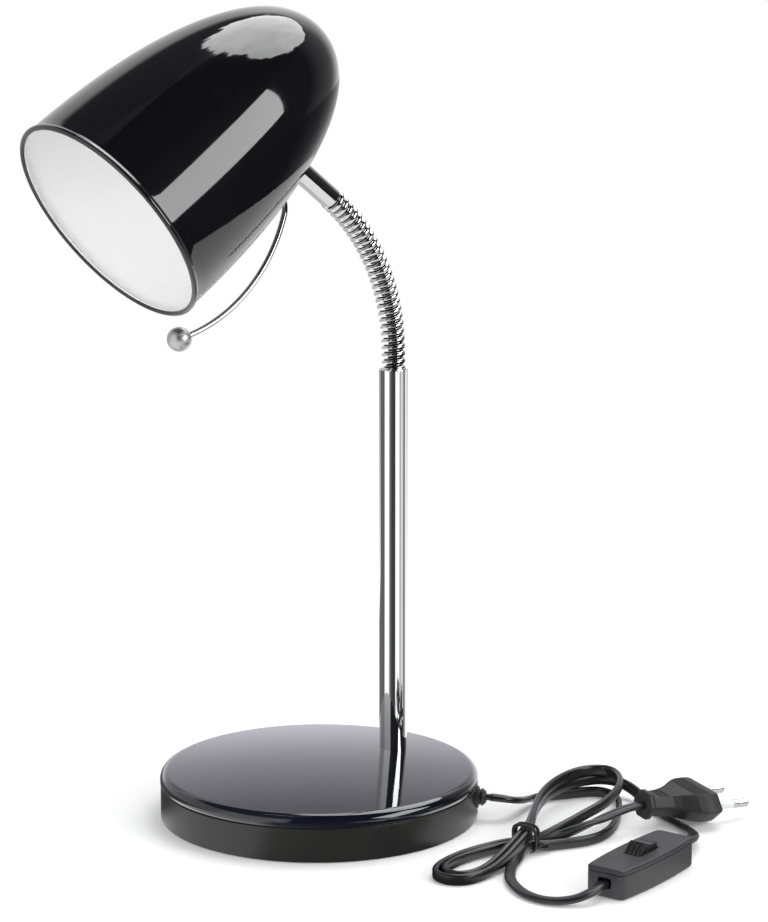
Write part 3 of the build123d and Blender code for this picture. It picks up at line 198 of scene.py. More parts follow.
switch_to_plug = [
    (77.2, -156.9, 6.7, 0), (84.8, -154.7, 6.7, 0), (94, -152, 6.6, 0), (105.5, -146, 5, 0), (113.5, -134, 2.6, 0),
    (118.5, -121, 1.6, 0), (121.5, -108, 1.6, 0), (125, -96, 2, 0), (129, -85, 3.5, 0.3), (130.5, -76, 5.5, 0.7),
    (129.5, -67, 7.2, 1), (124, -60.5, 7.8, 1), (115, -57.8, 7.8, 1), (105, -58.3, 7.8, 1), (95, -60.8, 7.8, 1),
    (85, -65.2, 7.4, 1), (75, -71.5, 6.8, 1), (64, -80.5, 6.6, 1), (53, -91, 7.5, 1), (44.5, -99, 9, 1),
    (39, -103, 9.3, 1), (32, -107, 8.4, 1), (24, -110.5, 6.5, 1), (15, -114, 4.2, 1), (6, -117.5, 2.8, 1),
    (-3, -119.8, 2.6, 1), (-10, -118.5, 2.6, 1), (-12.5, -113, 2.6, 1), (-10, -106.5, 2.6, 1), (-2, -102, 2.6, 1),
    (8, -99.5, 2.6, 1), (19, -98.5, 2.6, 1), (29, -99.5, 3, 1), (35, -102, 3.7, 1), (39.5, -104.5, 4.1, 1),
    (45, -105.5, 5, 1), (50, -106.5, 6.4, 1), (57, -106.5, 7.9, 1), (68, -104.8, 9.2, 1), (79, -102.5, 10.4, 1),
    (91, -100, 11.6, 1), (104.5, -93, 12.4, 1), (116, -84, 13, 1), (123, -74, 13, 1), (125, -66, 13, 1),
    (121, -60.5, 13, 1), (113, -58, 13, 1), (103, -59.5, 12.9, 1), (93, -63, 12.6, 1), (82, -68.5, 12, 1),
    (71, -76.5, 11.6, 1), (60, -86.5, 11.6, 1), (50, -96.5, 11, 1), (44, -102.5, 9.8, 1), (40, -106, 9.3, 1),
    (34, -109.5, 8.4, 1), (26, -113, 6.5, 1), (17, -117, 4.4, 1), (7, -120.8, 2.9, 1), (-3, -123.2, 2.6, 1),
    (-11, -122.8, 2.6, 1), (-16.5, -118, 2.6, 1), (-17.3, -110.5, 2.6, 1), (-13, -104.5, 2.6, 1), (-4, -99.8, 2.6, 1),
    (7, -96.6, 2.6, 1), (18, -95.4, 2.6, 1), (28, -96.2, 3, 1), (34.5, -98.9, 3.7, 1), (38.5, -101.5, 4.1, 1),
    (44, -105, 4.1, 1), (50, -107.3, 4.6, 1), (56.5, -108.5, 5.6, 1), (64, -110.8, 7.4, 0.7), (71, -112.1, 9, 0.4),
    (79.6, -112.9, 10.4, 0), (88.5, -113.4, 12, 0), (96, -113.8, 12.8, 0), (103.5, -113.9, 12.4, 0)]


def cord_line(name, route):
    """The smooth line that a cord's points pull towards themselves, a NURBS spline of degree two,
    read back as points, with the turn on edge at each."""
    route = np.array(route)
    curve = bpy.data.curves.new(name, "CURVE")
    curve.dimensions = "3D"
    curve.resolution_u = 8
    spline = curve.splines.new("NURBS")
    spline.points.add(len(route) - 1)
    spline.points.foreach_set("co", np.hstack([route[:, :3] / 1000, np.ones((len(route), 1))]).ravel())
    spline.order_u = 3
    spline.use_endpoint_u = True
    holder = bpy.data.objects.new(name, curve)
    read = bpy.data.meshes.new_from_object(holder)
    line = np.zeros(len(read.vertices) * 3)
    read.vertices.foreach_get("co", line)
    line = line.reshape(-1, 3)
    bpy.data.objects.remove(holder)
    bpy.data.meshes.remove(read)
    # Each point acts most halfway between two knots; the first and the last act at the ends.
    spans = len(route) - 2
    acts_at = np.clip(np.arange(len(route)) - 0.5, 0, spans)
    edge = np.interp(np.linspace(0, spans, len(line)), acts_at, route[:, 3])
    return line, edge


def cord_mesh(name, line, edge):
    """A flat cord along a line: round-sided section, its broad side level at edge 0 and upright at
    edge 1. A point is the line's point plus its share across the broad way and the thin way."""
    along = unit(np.gradient(line, axis=0))
    level = unit(np.cross(along, up))
    rise = np.cross(level, along)
    turn = (edge * np.pi / 2)[:, None]
    broad = np.cos(turn) * level + np.sin(turn) * rise
    thin = np.cross(along, broad)
    angle = circle(20)
    half, flat = cord_thickness / 2, (cord_width - cord_thickness) / 2
    waist = 1 - 0.06 * np.exp(-(np.cos(angle) / 0.25) ** 2)  # the shallow groove between the two cores
    across = flat * np.sign(np.cos(angle)) * np.minimum(1, np.abs(np.cos(angle)) * 4) + half * np.cos(angle)
    depth = half * np.sin(angle) * waist
    points = line[:, None] + across[None, :, None] * broad[:, None] + depth[None, :, None] * thin[:, None]
    return closed_piece(name, points, cord_finish)


def line_length(line):
    """The sum of a line's steps."""
    return float(np.linalg.norm(np.diff(line, axis=0), axis=1).sum())


near_line, near_edge = cord_line("cord_to_switch", gland_to_switch)
far_line, far_edge = cord_line("cord_to_plug", switch_to_plug)
cord_to_switch = cord_mesh("cord_to_switch", near_line, near_edge)
cord_to_plug = cord_mesh("cord_to_plug", far_line, far_edge)
for piece, nodes in ((cord_to_switch, ("cord_base_lead", "cord_switch_lead")),
                     (cord_to_plug, ("cord_hank", "cord_switch_tail", "cord_plug_lead"))):
    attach(piece, "stand")
    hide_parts(*nodes)
print("cord lengths", line_length(near_line), line_length(far_line))


# ---- tie --------------------------------------------------------------------------------------
# Thin black wire tie round the waist of the hank: two turns side by side, drawn round five cords,
# its ends twisted into a small loop in front.
tie_place = np.array((0.0395, -0.1045, 0.0))
tie_turn = np.radians(18.0)
tie_across = np.array((-np.sin(tie_turn), np.cos(tie_turn), 0.0))
tie_along = np.array((np.cos(tie_turn), np.sin(tie_turn), 0.0))
tie_half_width = 0.0061
tie_bottom, tie_top = 0.0008, 0.0129
tie_wire = 0.00075
tail_wire = 0.00055
tail_reach, tail_height = 0.0027, 0.0013  # half the tail loop's length and height
tie_finish = surface_finish("tie_plastic", (0.010, 0.010, 0.010), (0.018, 0.018, 0.018), (0.30, 0.45),
                            700.0, 0.00005)


def round_tube(name, line, radius, finish, upright, sides=14, closed=False):
    """A round wire along a line: each section is a circle square to it, from the given upright way."""
    line = np.asarray(line)
    if closed:
        along = unit(np.roll(line, -1, 0) - np.roll(line, 1, 0))
    else:
        along = unit(np.gradient(line, axis=0))
    side = unit(np.cross(along, upright))
    lift = np.cross(side, along)
    angle = circle(sides)[None, :, None]
    points = line[:, None] + radius * (np.cos(angle) * side[:, None] + np.sin(angle) * lift[:, None])
    ends = () if closed else end_faces(len(line), sides)
    return make_piece(name, points, grid_faces(len(line), sides, closed), [finish], caps=ends)


def superellipse(steps, power):
    """Points of a rounded square of half side one: x and y are the cosine and the sine, each raised
    to a power below one."""
    angle = circle(steps)
    return (np.sign(np.cos(angle)) * np.abs(np.cos(angle)) ** power,
            np.sign(np.sin(angle)) * np.abs(np.sin(angle)) ** power)


loop_x, loop_z = superellipse(96, 0.55)
tie_middle, tie_half_height = (tie_top + tie_bottom) / 2, (tie_top - tie_bottom) / 2
for number, shift in enumerate((-0.0009, 0.0009), start=1):
    slant = 0.0006 * loop_z * (-1) ** number
    loop = (tie_place + tie_half_width * loop_x[:, None] * tie_across + (shift + slant)[:, None] * tie_along
            + (tie_middle + tie_half_height * loop_z)[:, None] * up)
    turn_piece = round_tube(f"tie_turn_{number}", loop, tie_wire, tie_finish, tie_along, closed=True)
    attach(turn_piece, "stand")
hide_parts("hank_tie")
tail_turn = np.linspace(-0.12, 1.12, 40) * 2 * np.pi
tail_foot = tie_place - 1.12 * tie_half_width * tie_across + np.array((0, 0, 0.0036))
tail_loop = (tail_foot + tail_reach * (1 - np.cos(tail_turn))[:, None] * unit(tie_along - 0.6 * tie_across)
             - tail_height * np.sin(tail_turn)[:, None] * np.array((0.3, -0.5, 1.0))
             + 0.0002 * (tail_turn / np.pi - 1)[:, None] * tie_along)
tie_tail = round_tube("tie_tail", tail_loop, tail_wire, tie_finish,
                      tie_across + np.array((0.2, 0.1, 0.3)))
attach(tie_tail, "stand")


# ---- base -------------------------------------------------------------------------------------
# Moulded satin tray with a groove under the pressed and lacquered steel cover; a foam pad beneath,
# and an iron disc, its screws and the cord's clamp inside.
base_radius = 0.0752
tray_radius = 0.0750
pad_height = 0.0004
seam_level = 0.0168
crown_level = 0.0250
edge_level = 0.0223
cover_edge = 0.0042
cover_wall = 0.001
tray_inside, tray_floor = 0.0722, 0.0032
tray_lip = 0.0008


def eased(corners, radius):
    """Rounds a line's corners: each becomes a parabola from a radius before it to a radius after
    it, with one more point on either side that keeps the flats flat."""
    corners = np.asarray(corners, float)
    steps = np.diff(corners, axis=0)
    lengths = np.linalg.norm(steps, axis=1, keepdims=True)
    ways = steps / lengths
    reach = np.minimum(radius, 0.34 * np.minimum(lengths[:-1], lengths[1:]))[:, :, None]
    before = np.array([1.4, 1, 0.5625, 0.25, 0.0625, 0, 0])[None, :, None]
    after = before[:, ::-1]
    bends = corners[1:-1, None] - reach * before * ways[:-1, None] + reach * after * ways[1:, None]
    return np.vstack([corners[:1], bends.reshape(-1, 2), corners[-1:]])


def turned(name, profile, finishes, origin=(0, 0, 0), axis=(0, 0, 1), steps=128, ring=False,
           face_finish=None):
    """A turned piece: the profile's radius and height, carried round an axis. A point is the origin
    plus height along the axis plus radius times cosine and sine along two ways square to it."""
    axis = unit(axis)
    first = unit(np.cross(axis, (0, 1, 0) if abs(axis[1]) < 0.9 else (1, 0, 0)))
    second = np.cross(axis, first)
    angle = circle(steps)
    spokes = np.cos(angle)[:, None] * first + np.sin(angle)[:, None] * second
    profile = np.asarray(profile)
    points = (np.asarray(origin) + profile[:, 1][:, None, None] * axis
              + profile[:, 0][:, None, None] * spokes[None])
    rows = len(profile)
    per_face = None
    if face_finish is not None:
        per_face = np.repeat(np.asarray(face_finish), steps)
    return make_piece(name, points, grid_faces(rows, steps, ring), finishes, per_face)


black_paint = surface_finish("black_lacquer", (0.0035, 0.0035, 0.0045), (0.0055, 0.0055, 0.007),
                             (0.035, 0.075), 55.0, 0.00004, 18.0, Coat_Weight=1.0, Coat_Roughness=0.02)
cover_paint = surface_finish("cover_lacquer", (0.004, 0.004, 0.009), (0.006, 0.006, 0.014),
                             (0.03, 0.07), 45.0, 0.00003, 18.0, Coat_Weight=1.0, Coat_Roughness=0.02)
tray_finish = surface_finish("tray_plastic", (0.013, 0.013, 0.013), (0.019, 0.019, 0.018), (0.26, 0.36),
                             1400.0, 0.00003)

# cover: crown, rolled edge, skirt, and the same again one wall further in
dome_radius = ((base_radius - cover_edge) ** 2 + (crown_level - edge_level) ** 2) / (2 * (crown_level - edge_level))
crown_line = np.linspace(0, base_radius - cover_edge, 24)
edge_turn = np.radians(np.linspace(90, 0, 12))


def cover_line(inset):
    """The cover's section from its crown to the seam, drawn in by an inset."""
    crown = np.stack([crown_line, crown_level - inset - crown_line**2 / (2 * dome_radius)], 1)
    rim = np.stack([base_radius - cover_edge + (cover_edge - inset) * np.cos(edge_turn),
                    edge_level - cover_edge + (cover_edge - inset) * np.sin(edge_turn)], 1)
    return np.vstack([crown, rim[1:], [[base_radius - inset, seam_level]]])


cover_profile = np.vstack([cover_line(0), cover_line(cover_wall)[::-1]])
base_cover = turned("base_cover_dome", cover_profile, [cover_paint], steps=192)
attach(base_cover, "stand")
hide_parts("base_cover")

# tray: its wall, the groove under the cover, the lip inside the cover's skirt, and the floor
tray_profile = eased([(0, pad_height), (tray_radius, pad_height), (tray_radius, seam_level - 0.0009),
                      (tray_radius - tray_lip, seam_level - 0.0007), (tray_radius - tray_lip, seam_level),
                      (tray_inside + 0.0006, seam_level + 0.0004), (tray_inside, 0.0140), (tray_inside, tray_floor),
                      (0, tray_floor)], 0.0003)
tray_band = turned("base_tray_shell", tray_profile, [tray_finish], steps=192)
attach(tray_band, "stand")
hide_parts("base_tray")


# ---- pole -------------------------------------------------------------------------------------
# Drawn steel tube, chromed, 13.4 mm across, its foot let into the cover and its top edge rounded.
pole_x = 0.044
pole_radius = 0.0067
pole_wall = 0.0008
pole_foot, pole_top = 0.0215, 0.2085
pole_edge = 0.00035  # how far back its ends' corners are rounded
chrome = surface_finish("chrome", (0.93, 0.93, 0.94), (0.96, 0.96, 0.96), (0.03, 0.06), 160.0, 0.000002,
                        60.0, Metallic=1.0)
pole_profile = eased([(pole_radius - pole_wall, pole_foot), (pole_radius, pole_foot), (pole_radius, pole_top),
                      (pole_radius - pole_wall, pole_top), (pole_radius - pole_wall, pole_foot)], pole_edge)[:-1]
pole = turned("pole_tube", pole_profile, [chrome], (pole_x, 0, 0), steps=96, ring=True)
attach(pole, "stand")
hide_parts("pole")


# ---- gooseneck --------------------------------------------------------------------------------
# Round steel wire wound turn on turn round a dark inner spiral, chromed, with painted shade in the core's dark
# finish on the wire's faces that look at the core and the next turns. Each length runs from one fore-and-aft joint
# to the next, over the sideways joint in its middle, and ends in half balls on the axes of the other two.
neck_stub = 0.0081
link_pitch = 0.0061
joint_count = 14
neck_lean = np.radians(52.0)
bend_span = joint_count * link_pitch
bend_radius = link_pitch / np.tan(neck_lean / joint_count)
coil_radius = 0.0057
coil_pitch = link_pitch / 1.75  # so that the wire crosses each joint on that joint's axis
coil_wire = 0.00155
core_radius = 0.0043
wire_sides, core_sides = 24, 32
turn_sections, core_sections = 56, 17  # of the wire in each turn, and of the core in each length
coil_chrome = surface_finish("coil_chrome", (0.95, 0.95, 0.95), (0.97, 0.97, 0.97), (0.09, 0.14), 160.0, 0.000002,
                             60.0, Metallic=1.0)
# The core's own dark finish, also laid on the wire's inner faces as painted shade between the turns.
core_and_painted_shade_finish = surface_finish("neck_core_and_painted_shade", (0.010, 0.010, 0.010), (0.020, 0.020, 0.021), (0.35, 0.55),
                             900.0, 0.00004)


def neck_line(station):
    """The gooseneck's centre line: straight up from the pole, then one even arc. Gives the points,
    the way along and the way outwards from the arc's centre."""
    station = np.asarray(station, float)
    lean = np.clip((station - neck_stub) / bend_span, 0, 1) * neck_lean
    straight = np.minimum(station, neck_stub) + np.maximum(station - neck_stub - bend_span, 0)
    points = np.stack([pole_x - bend_radius * (1 - np.cos(lean)), np.zeros_like(lean),
                       pole_top + np.minimum(station, neck_stub) + bend_radius * np.sin(lean)], -1)
    along = np.stack([-np.sin(lean), np.zeros_like(lean), np.cos(lean)], -1)
    points = points + (straight - np.minimum(station, neck_stub))[..., None] * along
    outward = np.stack([np.cos(lean), np.zeros_like(lean), np.sin(lean)], -1)
    return points, along, outward


def ball_ended(line, along, spoke, radius, sides):
    """A tube along a line that ends in half balls: a section is a circle round the line from its
    spoke, and past the ends it moves on by a turn's sine and shrinks by its cosine."""
    turn = np.radians([90, 76, 58, 38, 18])
    step, size = radius * np.sin(turn)[:, None], radius * np.cos(turn)
    line = np.vstack([line[0] - step * along[0], line, line[-1] + step[::-1] * along[-1]])
    size = np.concatenate([size, np.full(len(spoke), radius), size[::-1]])[:, None, None]
    spoke, side = (np.pad(way, ((len(turn), len(turn)), (0, 0)), "edge") for way in (spoke, np.cross(spoke, along)))
    angle = circle(sides)[:, None]
    return line[:, None] + size * (np.cos(angle) * spoke[:, None] + np.sin(angle) * side[:, None])


coil_high = neck_stub + bend_span
coil_ends = [-0.003] + [neck_stub + joint * link_pitch for joint in range(1, joint_count, 2)] + [coil_high]
wire_angle = np.arange(wire_sides) * 360 / wire_sides
# These faces of the wire take the core's dark finish: painted shade where the turns meet.
painted_shade_faces = (wire_angle > 68) & (wire_angle < 300)  # the wire's faces that look at the core and the next turns
for number, (low, high) in enumerate(zip(coil_ends[:-1], coil_ends[1:])):
    steps = int(round((high - low) / coil_pitch * turn_sections)) + 1
    station = low + (high - low) * np.arange(-1, steps + 1) / (steps - 1)
    centre, along, outward = neck_line(station)
    winding = 2 * np.pi * (station - neck_stub) / coil_pitch
    spoke = np.cos(winding)[:, None] * outward + np.sin(winding)[:, None] * np.cross(along, outward)
    wire_line = centre + (coil_radius - coil_wire) * spoke
    wire_points = ball_ended(wire_line[1:-1], unit(wire_line[2:] - wire_line[:-2]), spoke[1:-1], coil_wire, wire_sides)
    core_points = ball_ended(*neck_line(np.linspace(low, high, core_sections)), core_radius, core_sides)
    wire_faces, core_faces = grid_faces(len(wire_points), wire_sides), grid_faces(len(core_points), core_sides)
    neck_piece = make_piece(f"neck_coil_{number + 1}",
                            np.vstack([wire_points.reshape(-1, 3), core_points.reshape(-1, 3)]),
                            np.vstack([wire_faces, core_faces + len(wire_points) * wire_sides]),
                            [coil_chrome, core_and_painted_shade_finish],
                            np.concatenate([np.tile(painted_shade_faces, len(wire_points) - 1), np.ones(len(core_faces))]))
    if high == coil_high:
        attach(neck_piece, "head")
    else:
        middle = neck_stub + 2 * number * link_pitch
        start, end = neck_line([middle - link_pitch, middle + link_pitch])[0]
        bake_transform(neck_piece)
        lower_node = f"neck_link_{2 * number:02d}" if number else "neck_root"
        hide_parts(lower_node, f"neck_link_{2 * number + 1:02d}")

# Ferrule: a smooth chromed tube from the last turn of the coil to the shade, with the thread that
# goes through the shade's wall.
ferrule_radius = 0.0051
ferrule_length = 0.0264
thread_radius = 0.00495
thread_length = 0.009
thread_pitch = 0.001
neck_end, neck_way, _ = neck_line(coil_high)
thread_steps = np.arange(int(thread_length / thread_pitch * 2) + 1)
thread = np.stack([thread_radius - 0.0005 * (thread_steps % 2), ferrule_length + thread_steps * thread_pitch / 2], 1)
ferrule_profile = np.vstack([
    eased([(0.0040, 0.0002), (0.0040, -0.0004), (ferrule_radius, -0.0004), (ferrule_radius, ferrule_length),
           (thread_radius, ferrule_length + 0.0001)], 0.0004),
    thread[1:], [(0.0040, ferrule_length + thread_length)]])
ferrule = turned("neck_ferrule_tube", ferrule_profile, [chrome], neck_end, neck_way, 96, ring=True)
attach(ferrule, "head")
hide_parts("neck_ferrule")


# ---- shade ------------------------------------------------------------------------------------
# Spun steel bullet, 102 mm wide and 137 mm long, black lacquer outside and white enamel inside, with
# its rim rolled round a bead. The neck and the rod's foot go through its lower wall.
shade_radius = 0.0511
shade_length = 0.137
shade_wall = 0.0008
shade_bead = 0.0013
shade_bluntness = 2.17
shade_fullness = 2.31
rim_centre = np.array((-0.11238193, 0.0, 0.28635340))
shade_axis = np.array((0.82114205, 0.0, 0.57072387))
shade_side = np.array((0.57072387, 0.0, -0.82114205))
enamel = surface_finish("white_enamel", (0.90, 0.90, 0.90), (0.94, 0.94, 0.94), (0.28, 0.40), 220.0, 0.00001)


def shade_line(inset, turn):
    """The bullet's outline at an angle from the rim to the apex: radius and station."""
    return np.stack([(shade_radius - inset) * np.cos(turn) ** (2 / shade_fullness),
                     (shade_length - inset) * np.sin(turn) ** (2 / shade_bluntness)], 1)


wall_turn = np.radians(np.concatenate([np.linspace(1.0, 86.0, 72), np.linspace(87, 90, 7)]))
wall_turn[-1] = np.pi / 2
outer_wall = shade_line(0, wall_turn)[::-1]
inner_wall = shade_line(shade_wall, wall_turn)
outer_wall[0, 0] = inner_wall[-1, 0] = 0
bead_turn = np.radians(np.linspace(60, -215, 30))
bead_middle = shade_radius - shade_wall / 2
bead = np.stack([bead_middle + shade_bead * np.cos(bead_turn), shade_bead + shade_bead * np.sin(bead_turn)], 1)
outer_wall = outer_wall[outer_wall[:, 1] > 0.0029]
inner_wall = inner_wall[inner_wall[:, 1] > 0.0027]
shade_profile = np.vstack([outer_wall, bead, inner_wall])
inside_from = len(outer_wall) + len(bead) - 6
shade_finish = (np.arange(len(shade_profile) - 1) >= inside_from).astype(int)
shade = turned("shade_bell", shade_profile, [black_paint, enamel], rim_centre, shade_axis, 224,
               face_finish=shade_finish)
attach(shade, "head")
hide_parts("shade")


# ---- grab rod and knob ------------------------------------------------------------------------
# Chromed wire, 2.8 mm, bent in one wide arc under the shade and turned into its wall, with a satin
# ball pressed on its free end.
rod_radius = 0.0014
rod_arc_radius = 0.074
rod_arc_foot, rod_arc_top = np.radians(-23.0), np.radians(38.5)
rod_root = np.array((0.0434845, 0.080))
rod_shoulder = rod_root + np.array((0.01183, -0.00393))
rod_tail = 0.007
rod_arc_centre = rod_shoulder - rod_arc_radius * np.array((np.cos(rod_arc_top), np.sin(rod_arc_top)))
rod_turn = np.linspace(rod_arc_foot, rod_arc_top, 48)
rod_arc = rod_arc_centre + rod_arc_radius * np.stack([np.cos(rod_turn), np.sin(rod_turn)], 1)
rod_chord = rod_root - rod_shoulder
chord_angle = np.arctan2(rod_chord[1], rod_chord[0])
half_bend = chord_angle - (rod_arc_top + np.pi / 2)
bend_share = np.linspace(0, 1, 20)[1:, None]
bend_heading = rod_arc_top + np.pi / 2 + half_bend * bend_share
rod_bend = rod_shoulder + (np.linalg.norm(rod_chord) * np.sin(half_bend * bend_share) / np.sin(half_bend)
                           * np.hstack([np.cos(bend_heading), np.sin(bend_heading)]))
tail_angle = rod_arc_top + np.pi / 2 + 2 * half_bend
rod_end = rod_root + rod_tail * np.array((np.cos(tail_angle), np.sin(tail_angle))) * np.linspace(0.1, 1, 8)[:, None]
rod_plane = np.vstack([rod_arc, rod_bend, rod_end])
rod_line = rim_centre + rod_plane[:, :1] * shade_side + rod_plane[:, 1:] * shade_axis
grab_rod = round_tube("grab_rod", rod_line, rod_radius, chrome, (0, 1, 0), 20)
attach(grab_rod, "head")
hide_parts("handle_rod")

knob_finish = surface_finish("knob_metal", (0.62, 0.62, 0.63), (0.70, 0.70, 0.71), (0.30, 0.42), 900.0, 0.00002,
                             Metallic=1.0)
knob_radius = 0.0055
rod_way = unit(rod_line[1] - rod_line[0])
knob_middle = rod_line[0] + rod_way * (0.004 - knob_radius)
knob_turn = np.radians(np.linspace(-90, 72, 46))
knob_profile = np.vstack([np.stack([knob_radius * np.cos(knob_turn), knob_radius * np.sin(knob_turn)], 1),
                          [(0.00160, 0.00505), (0.00155, 0.0042), (0.0, 0.0040)]])
knob_profile[0, 0] = 0
knob = turned("rod_knob", knob_profile, [knob_finish], knob_middle, rod_way, 64)
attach(knob, "head")
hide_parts("handle_knob")


# ---- cord gland -------------------------------------------------------------------------------
# Moulded black grommet in the tray's side: a flange, one rib and a short tapered nose.
gland_azimuth = np.radians(-46.0)
gland_way = np.array((np.cos(gland_azimuth), np.sin(gland_azimuth), 0.0))
gland_origin = np.array((0, 0, 0.011))
fitting_plastic = surface_finish("fitting_plastic", (0.014, 0.014, 0.014), (0.022, 0.022, 0.022), (0.42, 0.56),
                                 1600.0, 0.00006)
gland_profile = eased([(0.0016, 0.0725), (0.0035, 0.0725), (0.0035, 0.0744), (0.0052, 0.0744), (0.0052, 0.0757),
                       (0.0046, 0.0761), (0.0036, 0.0763), (0.0035, 0.0770), (0.0041, 0.0773), (0.0040, 0.0782),
                       (0.0033, 0.0786), (0.0029, 0.0794), (0.0016, 0.0794)], 0.0002)
gland = turned("cord_grommet", gland_profile, [fitting_plastic], gland_origin, gland_way, 64,
               ring=True)
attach(gland, "stand")
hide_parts("cord_gland")


# ---- inline switch ----------------------------------------------------------------------------
# Two moulded shells with a spark-eroded grain, a deep tray and a shallow lid that meet in a fine
# groove, and a glossier rocker with a raised and fluted thumb ridge.
switch_middle = np.array((0.056, -0.163, 0.0))
switch_turn = np.radians(16.0)
switch_along = np.array((np.cos(switch_turn), np.sin(switch_turn), 0.0))
switch_across = np.array((-np.sin(switch_turn), np.cos(switch_turn), 0.0))
switch_half_length, switch_half_end, switch_half_width = 0.030, 0.00925, 0.011
switch_height, lid_level, switch_wall = 0.0134, 0.0112, 0.0015
switch_corner, switch_edge = 0.0022, 0.0011
window_half_length, window_half_width = 0.0085, 0.0043
rocker_pivot, rocker_tilt = 0.010, np.radians(8.0)
switch_plastic = surface_finish("switch_plastic", (0.022, 0.021, 0.023), (0.032, 0.030, 0.033), (0.40, 0.52),
                                1500.0, 0.00007)
rocker_plastic = surface_finish("rocker_plastic", (0.008, 0.008, 0.008), (0.013, 0.013, 0.013), (0.20, 0.32),
                                900.0, 0.00003)
plan_steps = 240
plan_angle = circle(plan_steps)
plan_way = np.stack([np.cos(plan_angle), np.sin(plan_angle)], 1)


def switch_plan(inset):
    """The switch's outline by angle, drawn in by an inset: straight ends, sides bowed by a parabola,
    and corners rounded as the root of the squares of how far a point is into the corner."""
    reach = np.full(plan_steps, 0.04)
    for _ in range(60):
        along, beside = np.abs(plan_way * reach[:, None]).T
        bow = (switch_half_width - switch_half_end) * (1 - (along / switch_half_length) ** 2)
        into_end = along - (switch_half_length - inset - switch_corner)
        into_side = beside - (switch_half_end + bow - inset - switch_corner)
        into_corner = np.hypot(np.maximum(into_end, 0), np.maximum(into_side, 0))
        reach = reach - (into_corner + np.minimum(np.maximum(into_end, into_side), 0) - switch_corner)
    return plan_way * reach[:, None]


def window_plan(inset):
    """The window's outline by the same angles: the nearer of its end and its side."""
    size = np.array((window_half_length, window_half_width)) - inset
    return plan_way * np.min(size / np.maximum(np.abs(plan_way), 1e-6), axis=1)[:, None]


def switch_rows(outlines, levels):
    """Outlines in the switch's plan, each carried to its level."""
    outlines = np.asarray(outlines)
    levels = np.asarray(levels)[:, None, None] * up
    return switch_middle + outlines[..., :1] * switch_along + outlines[..., 1:] * switch_across + levels


def rounding(level, height, outwards):
    """Insets and levels of a rounded edge whose flat lies at a level."""
    turn = np.radians(np.linspace(0, 90, 6))
    return [(switch_edge * (1 - np.sin(a)), level - height * switch_edge * (1 - np.cos(a)))
            for a in (turn if outwards else turn[::-1])]


tray_steps = ([(switch_edge * 2.5, 0.0)] + rounding(0.0, -1, True) + [(0, lid_level - 0.0006), (0, lid_level - 0.0003),
              (0.0002, lid_level - 0.00015), (0.0005, lid_level - 0.0001), (switch_wall, lid_level - 0.0001),
              (switch_wall + 0.0001, lid_level - 0.0004), (switch_wall + 0.0001, switch_wall + 0.0003),
              (switch_wall + 0.0004, switch_wall)])
switch_tray = closed_piece("switch_tray", switch_rows([switch_plan(inset) for inset, _ in tray_steps],
                                                      [level for _, level in tray_steps]),
                           switch_plastic)
lid_steps = ([(0.0005, lid_level), (0.0002, lid_level + 0.00005), (0, lid_level + 0.0002), (0, lid_level + 0.0005)]
             + rounding(switch_height, 1, False) + [(switch_edge * 1.8, switch_height)])
lid_rows = [switch_plan(inset) for inset, _ in lid_steps]
lid_levels = [level for _, level in lid_steps]
for share in (0.25, 0.5, 0.75):
    lid_rows.append((1 - share) * lid_rows[len(lid_steps) - 1] + share * window_plan(-0.0004))
    lid_levels.append(switch_height)
for inset, level in ((-0.0004, 0), (-0.0002, 0), (-0.00005, 0.00005), (0, 0.0002), (0, 0.0015), (-0.0002, 0.0019)):
    lid_rows.append(window_plan(inset))
    lid_levels.append(switch_height - level)
lid_rows.append(switch_plan(0.0020))
lid_levels.append(lid_level)
switch_lid = make_piece("switch_lid", switch_rows(lid_rows, lid_levels), grid_faces(len(lid_rows), plan_steps, True),
                        [switch_plastic])

# The wells of its two screws from below, and an opening for the cord in either end.
well_start, well_depth, well_radius = -0.001, 0.0012, 0.00215
entry_half_width, entry_half_height, entry_level = 0.0034, 0.0024, 0.0067
entry_reach = np.array([0.026, 0.031])  # from the switch's middle, along it
cutters = []
for along, beside in ((-0.021, 0.0056), (0.021, -0.0056)):
    place = switch_middle + along * switch_along + beside * switch_across
    well = [(0, well_start), (well_radius, well_start), (well_radius, well_depth), (0, well_depth)]
    cutters.append(turned("well", well, [switch_plastic], place, steps=48))
entry_side, entry_rise = superellipse(40, 0.45)
entry_ring = (entry_half_width * entry_side[:, None] * switch_across
              + (entry_level + entry_half_height * entry_rise)[:, None] * up)
for end in (-1, 1):
    entry_rows = switch_middle + end * entry_reach[:, None, None] * switch_along + entry_ring
    cutters.append(closed_piece("entry", entry_rows, switch_plastic))
for cutter in cutters:
    cut = switch_tray.modifiers.new(cutter.name, "BOOLEAN")
    cut.operation, cut.object, cut.solver = "DIFFERENCE", cutter, "EXACT"
bpy.context.view_layer.update()
cut_mesh = bpy.data.meshes.new_from_object(switch_tray.evaluated_get(bpy.context.evaluated_depsgraph_get()))
switch_tray.modifiers.clear()
switch_tray.data = cut_mesh
for cutter in cutters:
    bpy.data.objects.remove(cutter)
cut_mesh.set_sharp_from_angle(angle=np.radians(40))

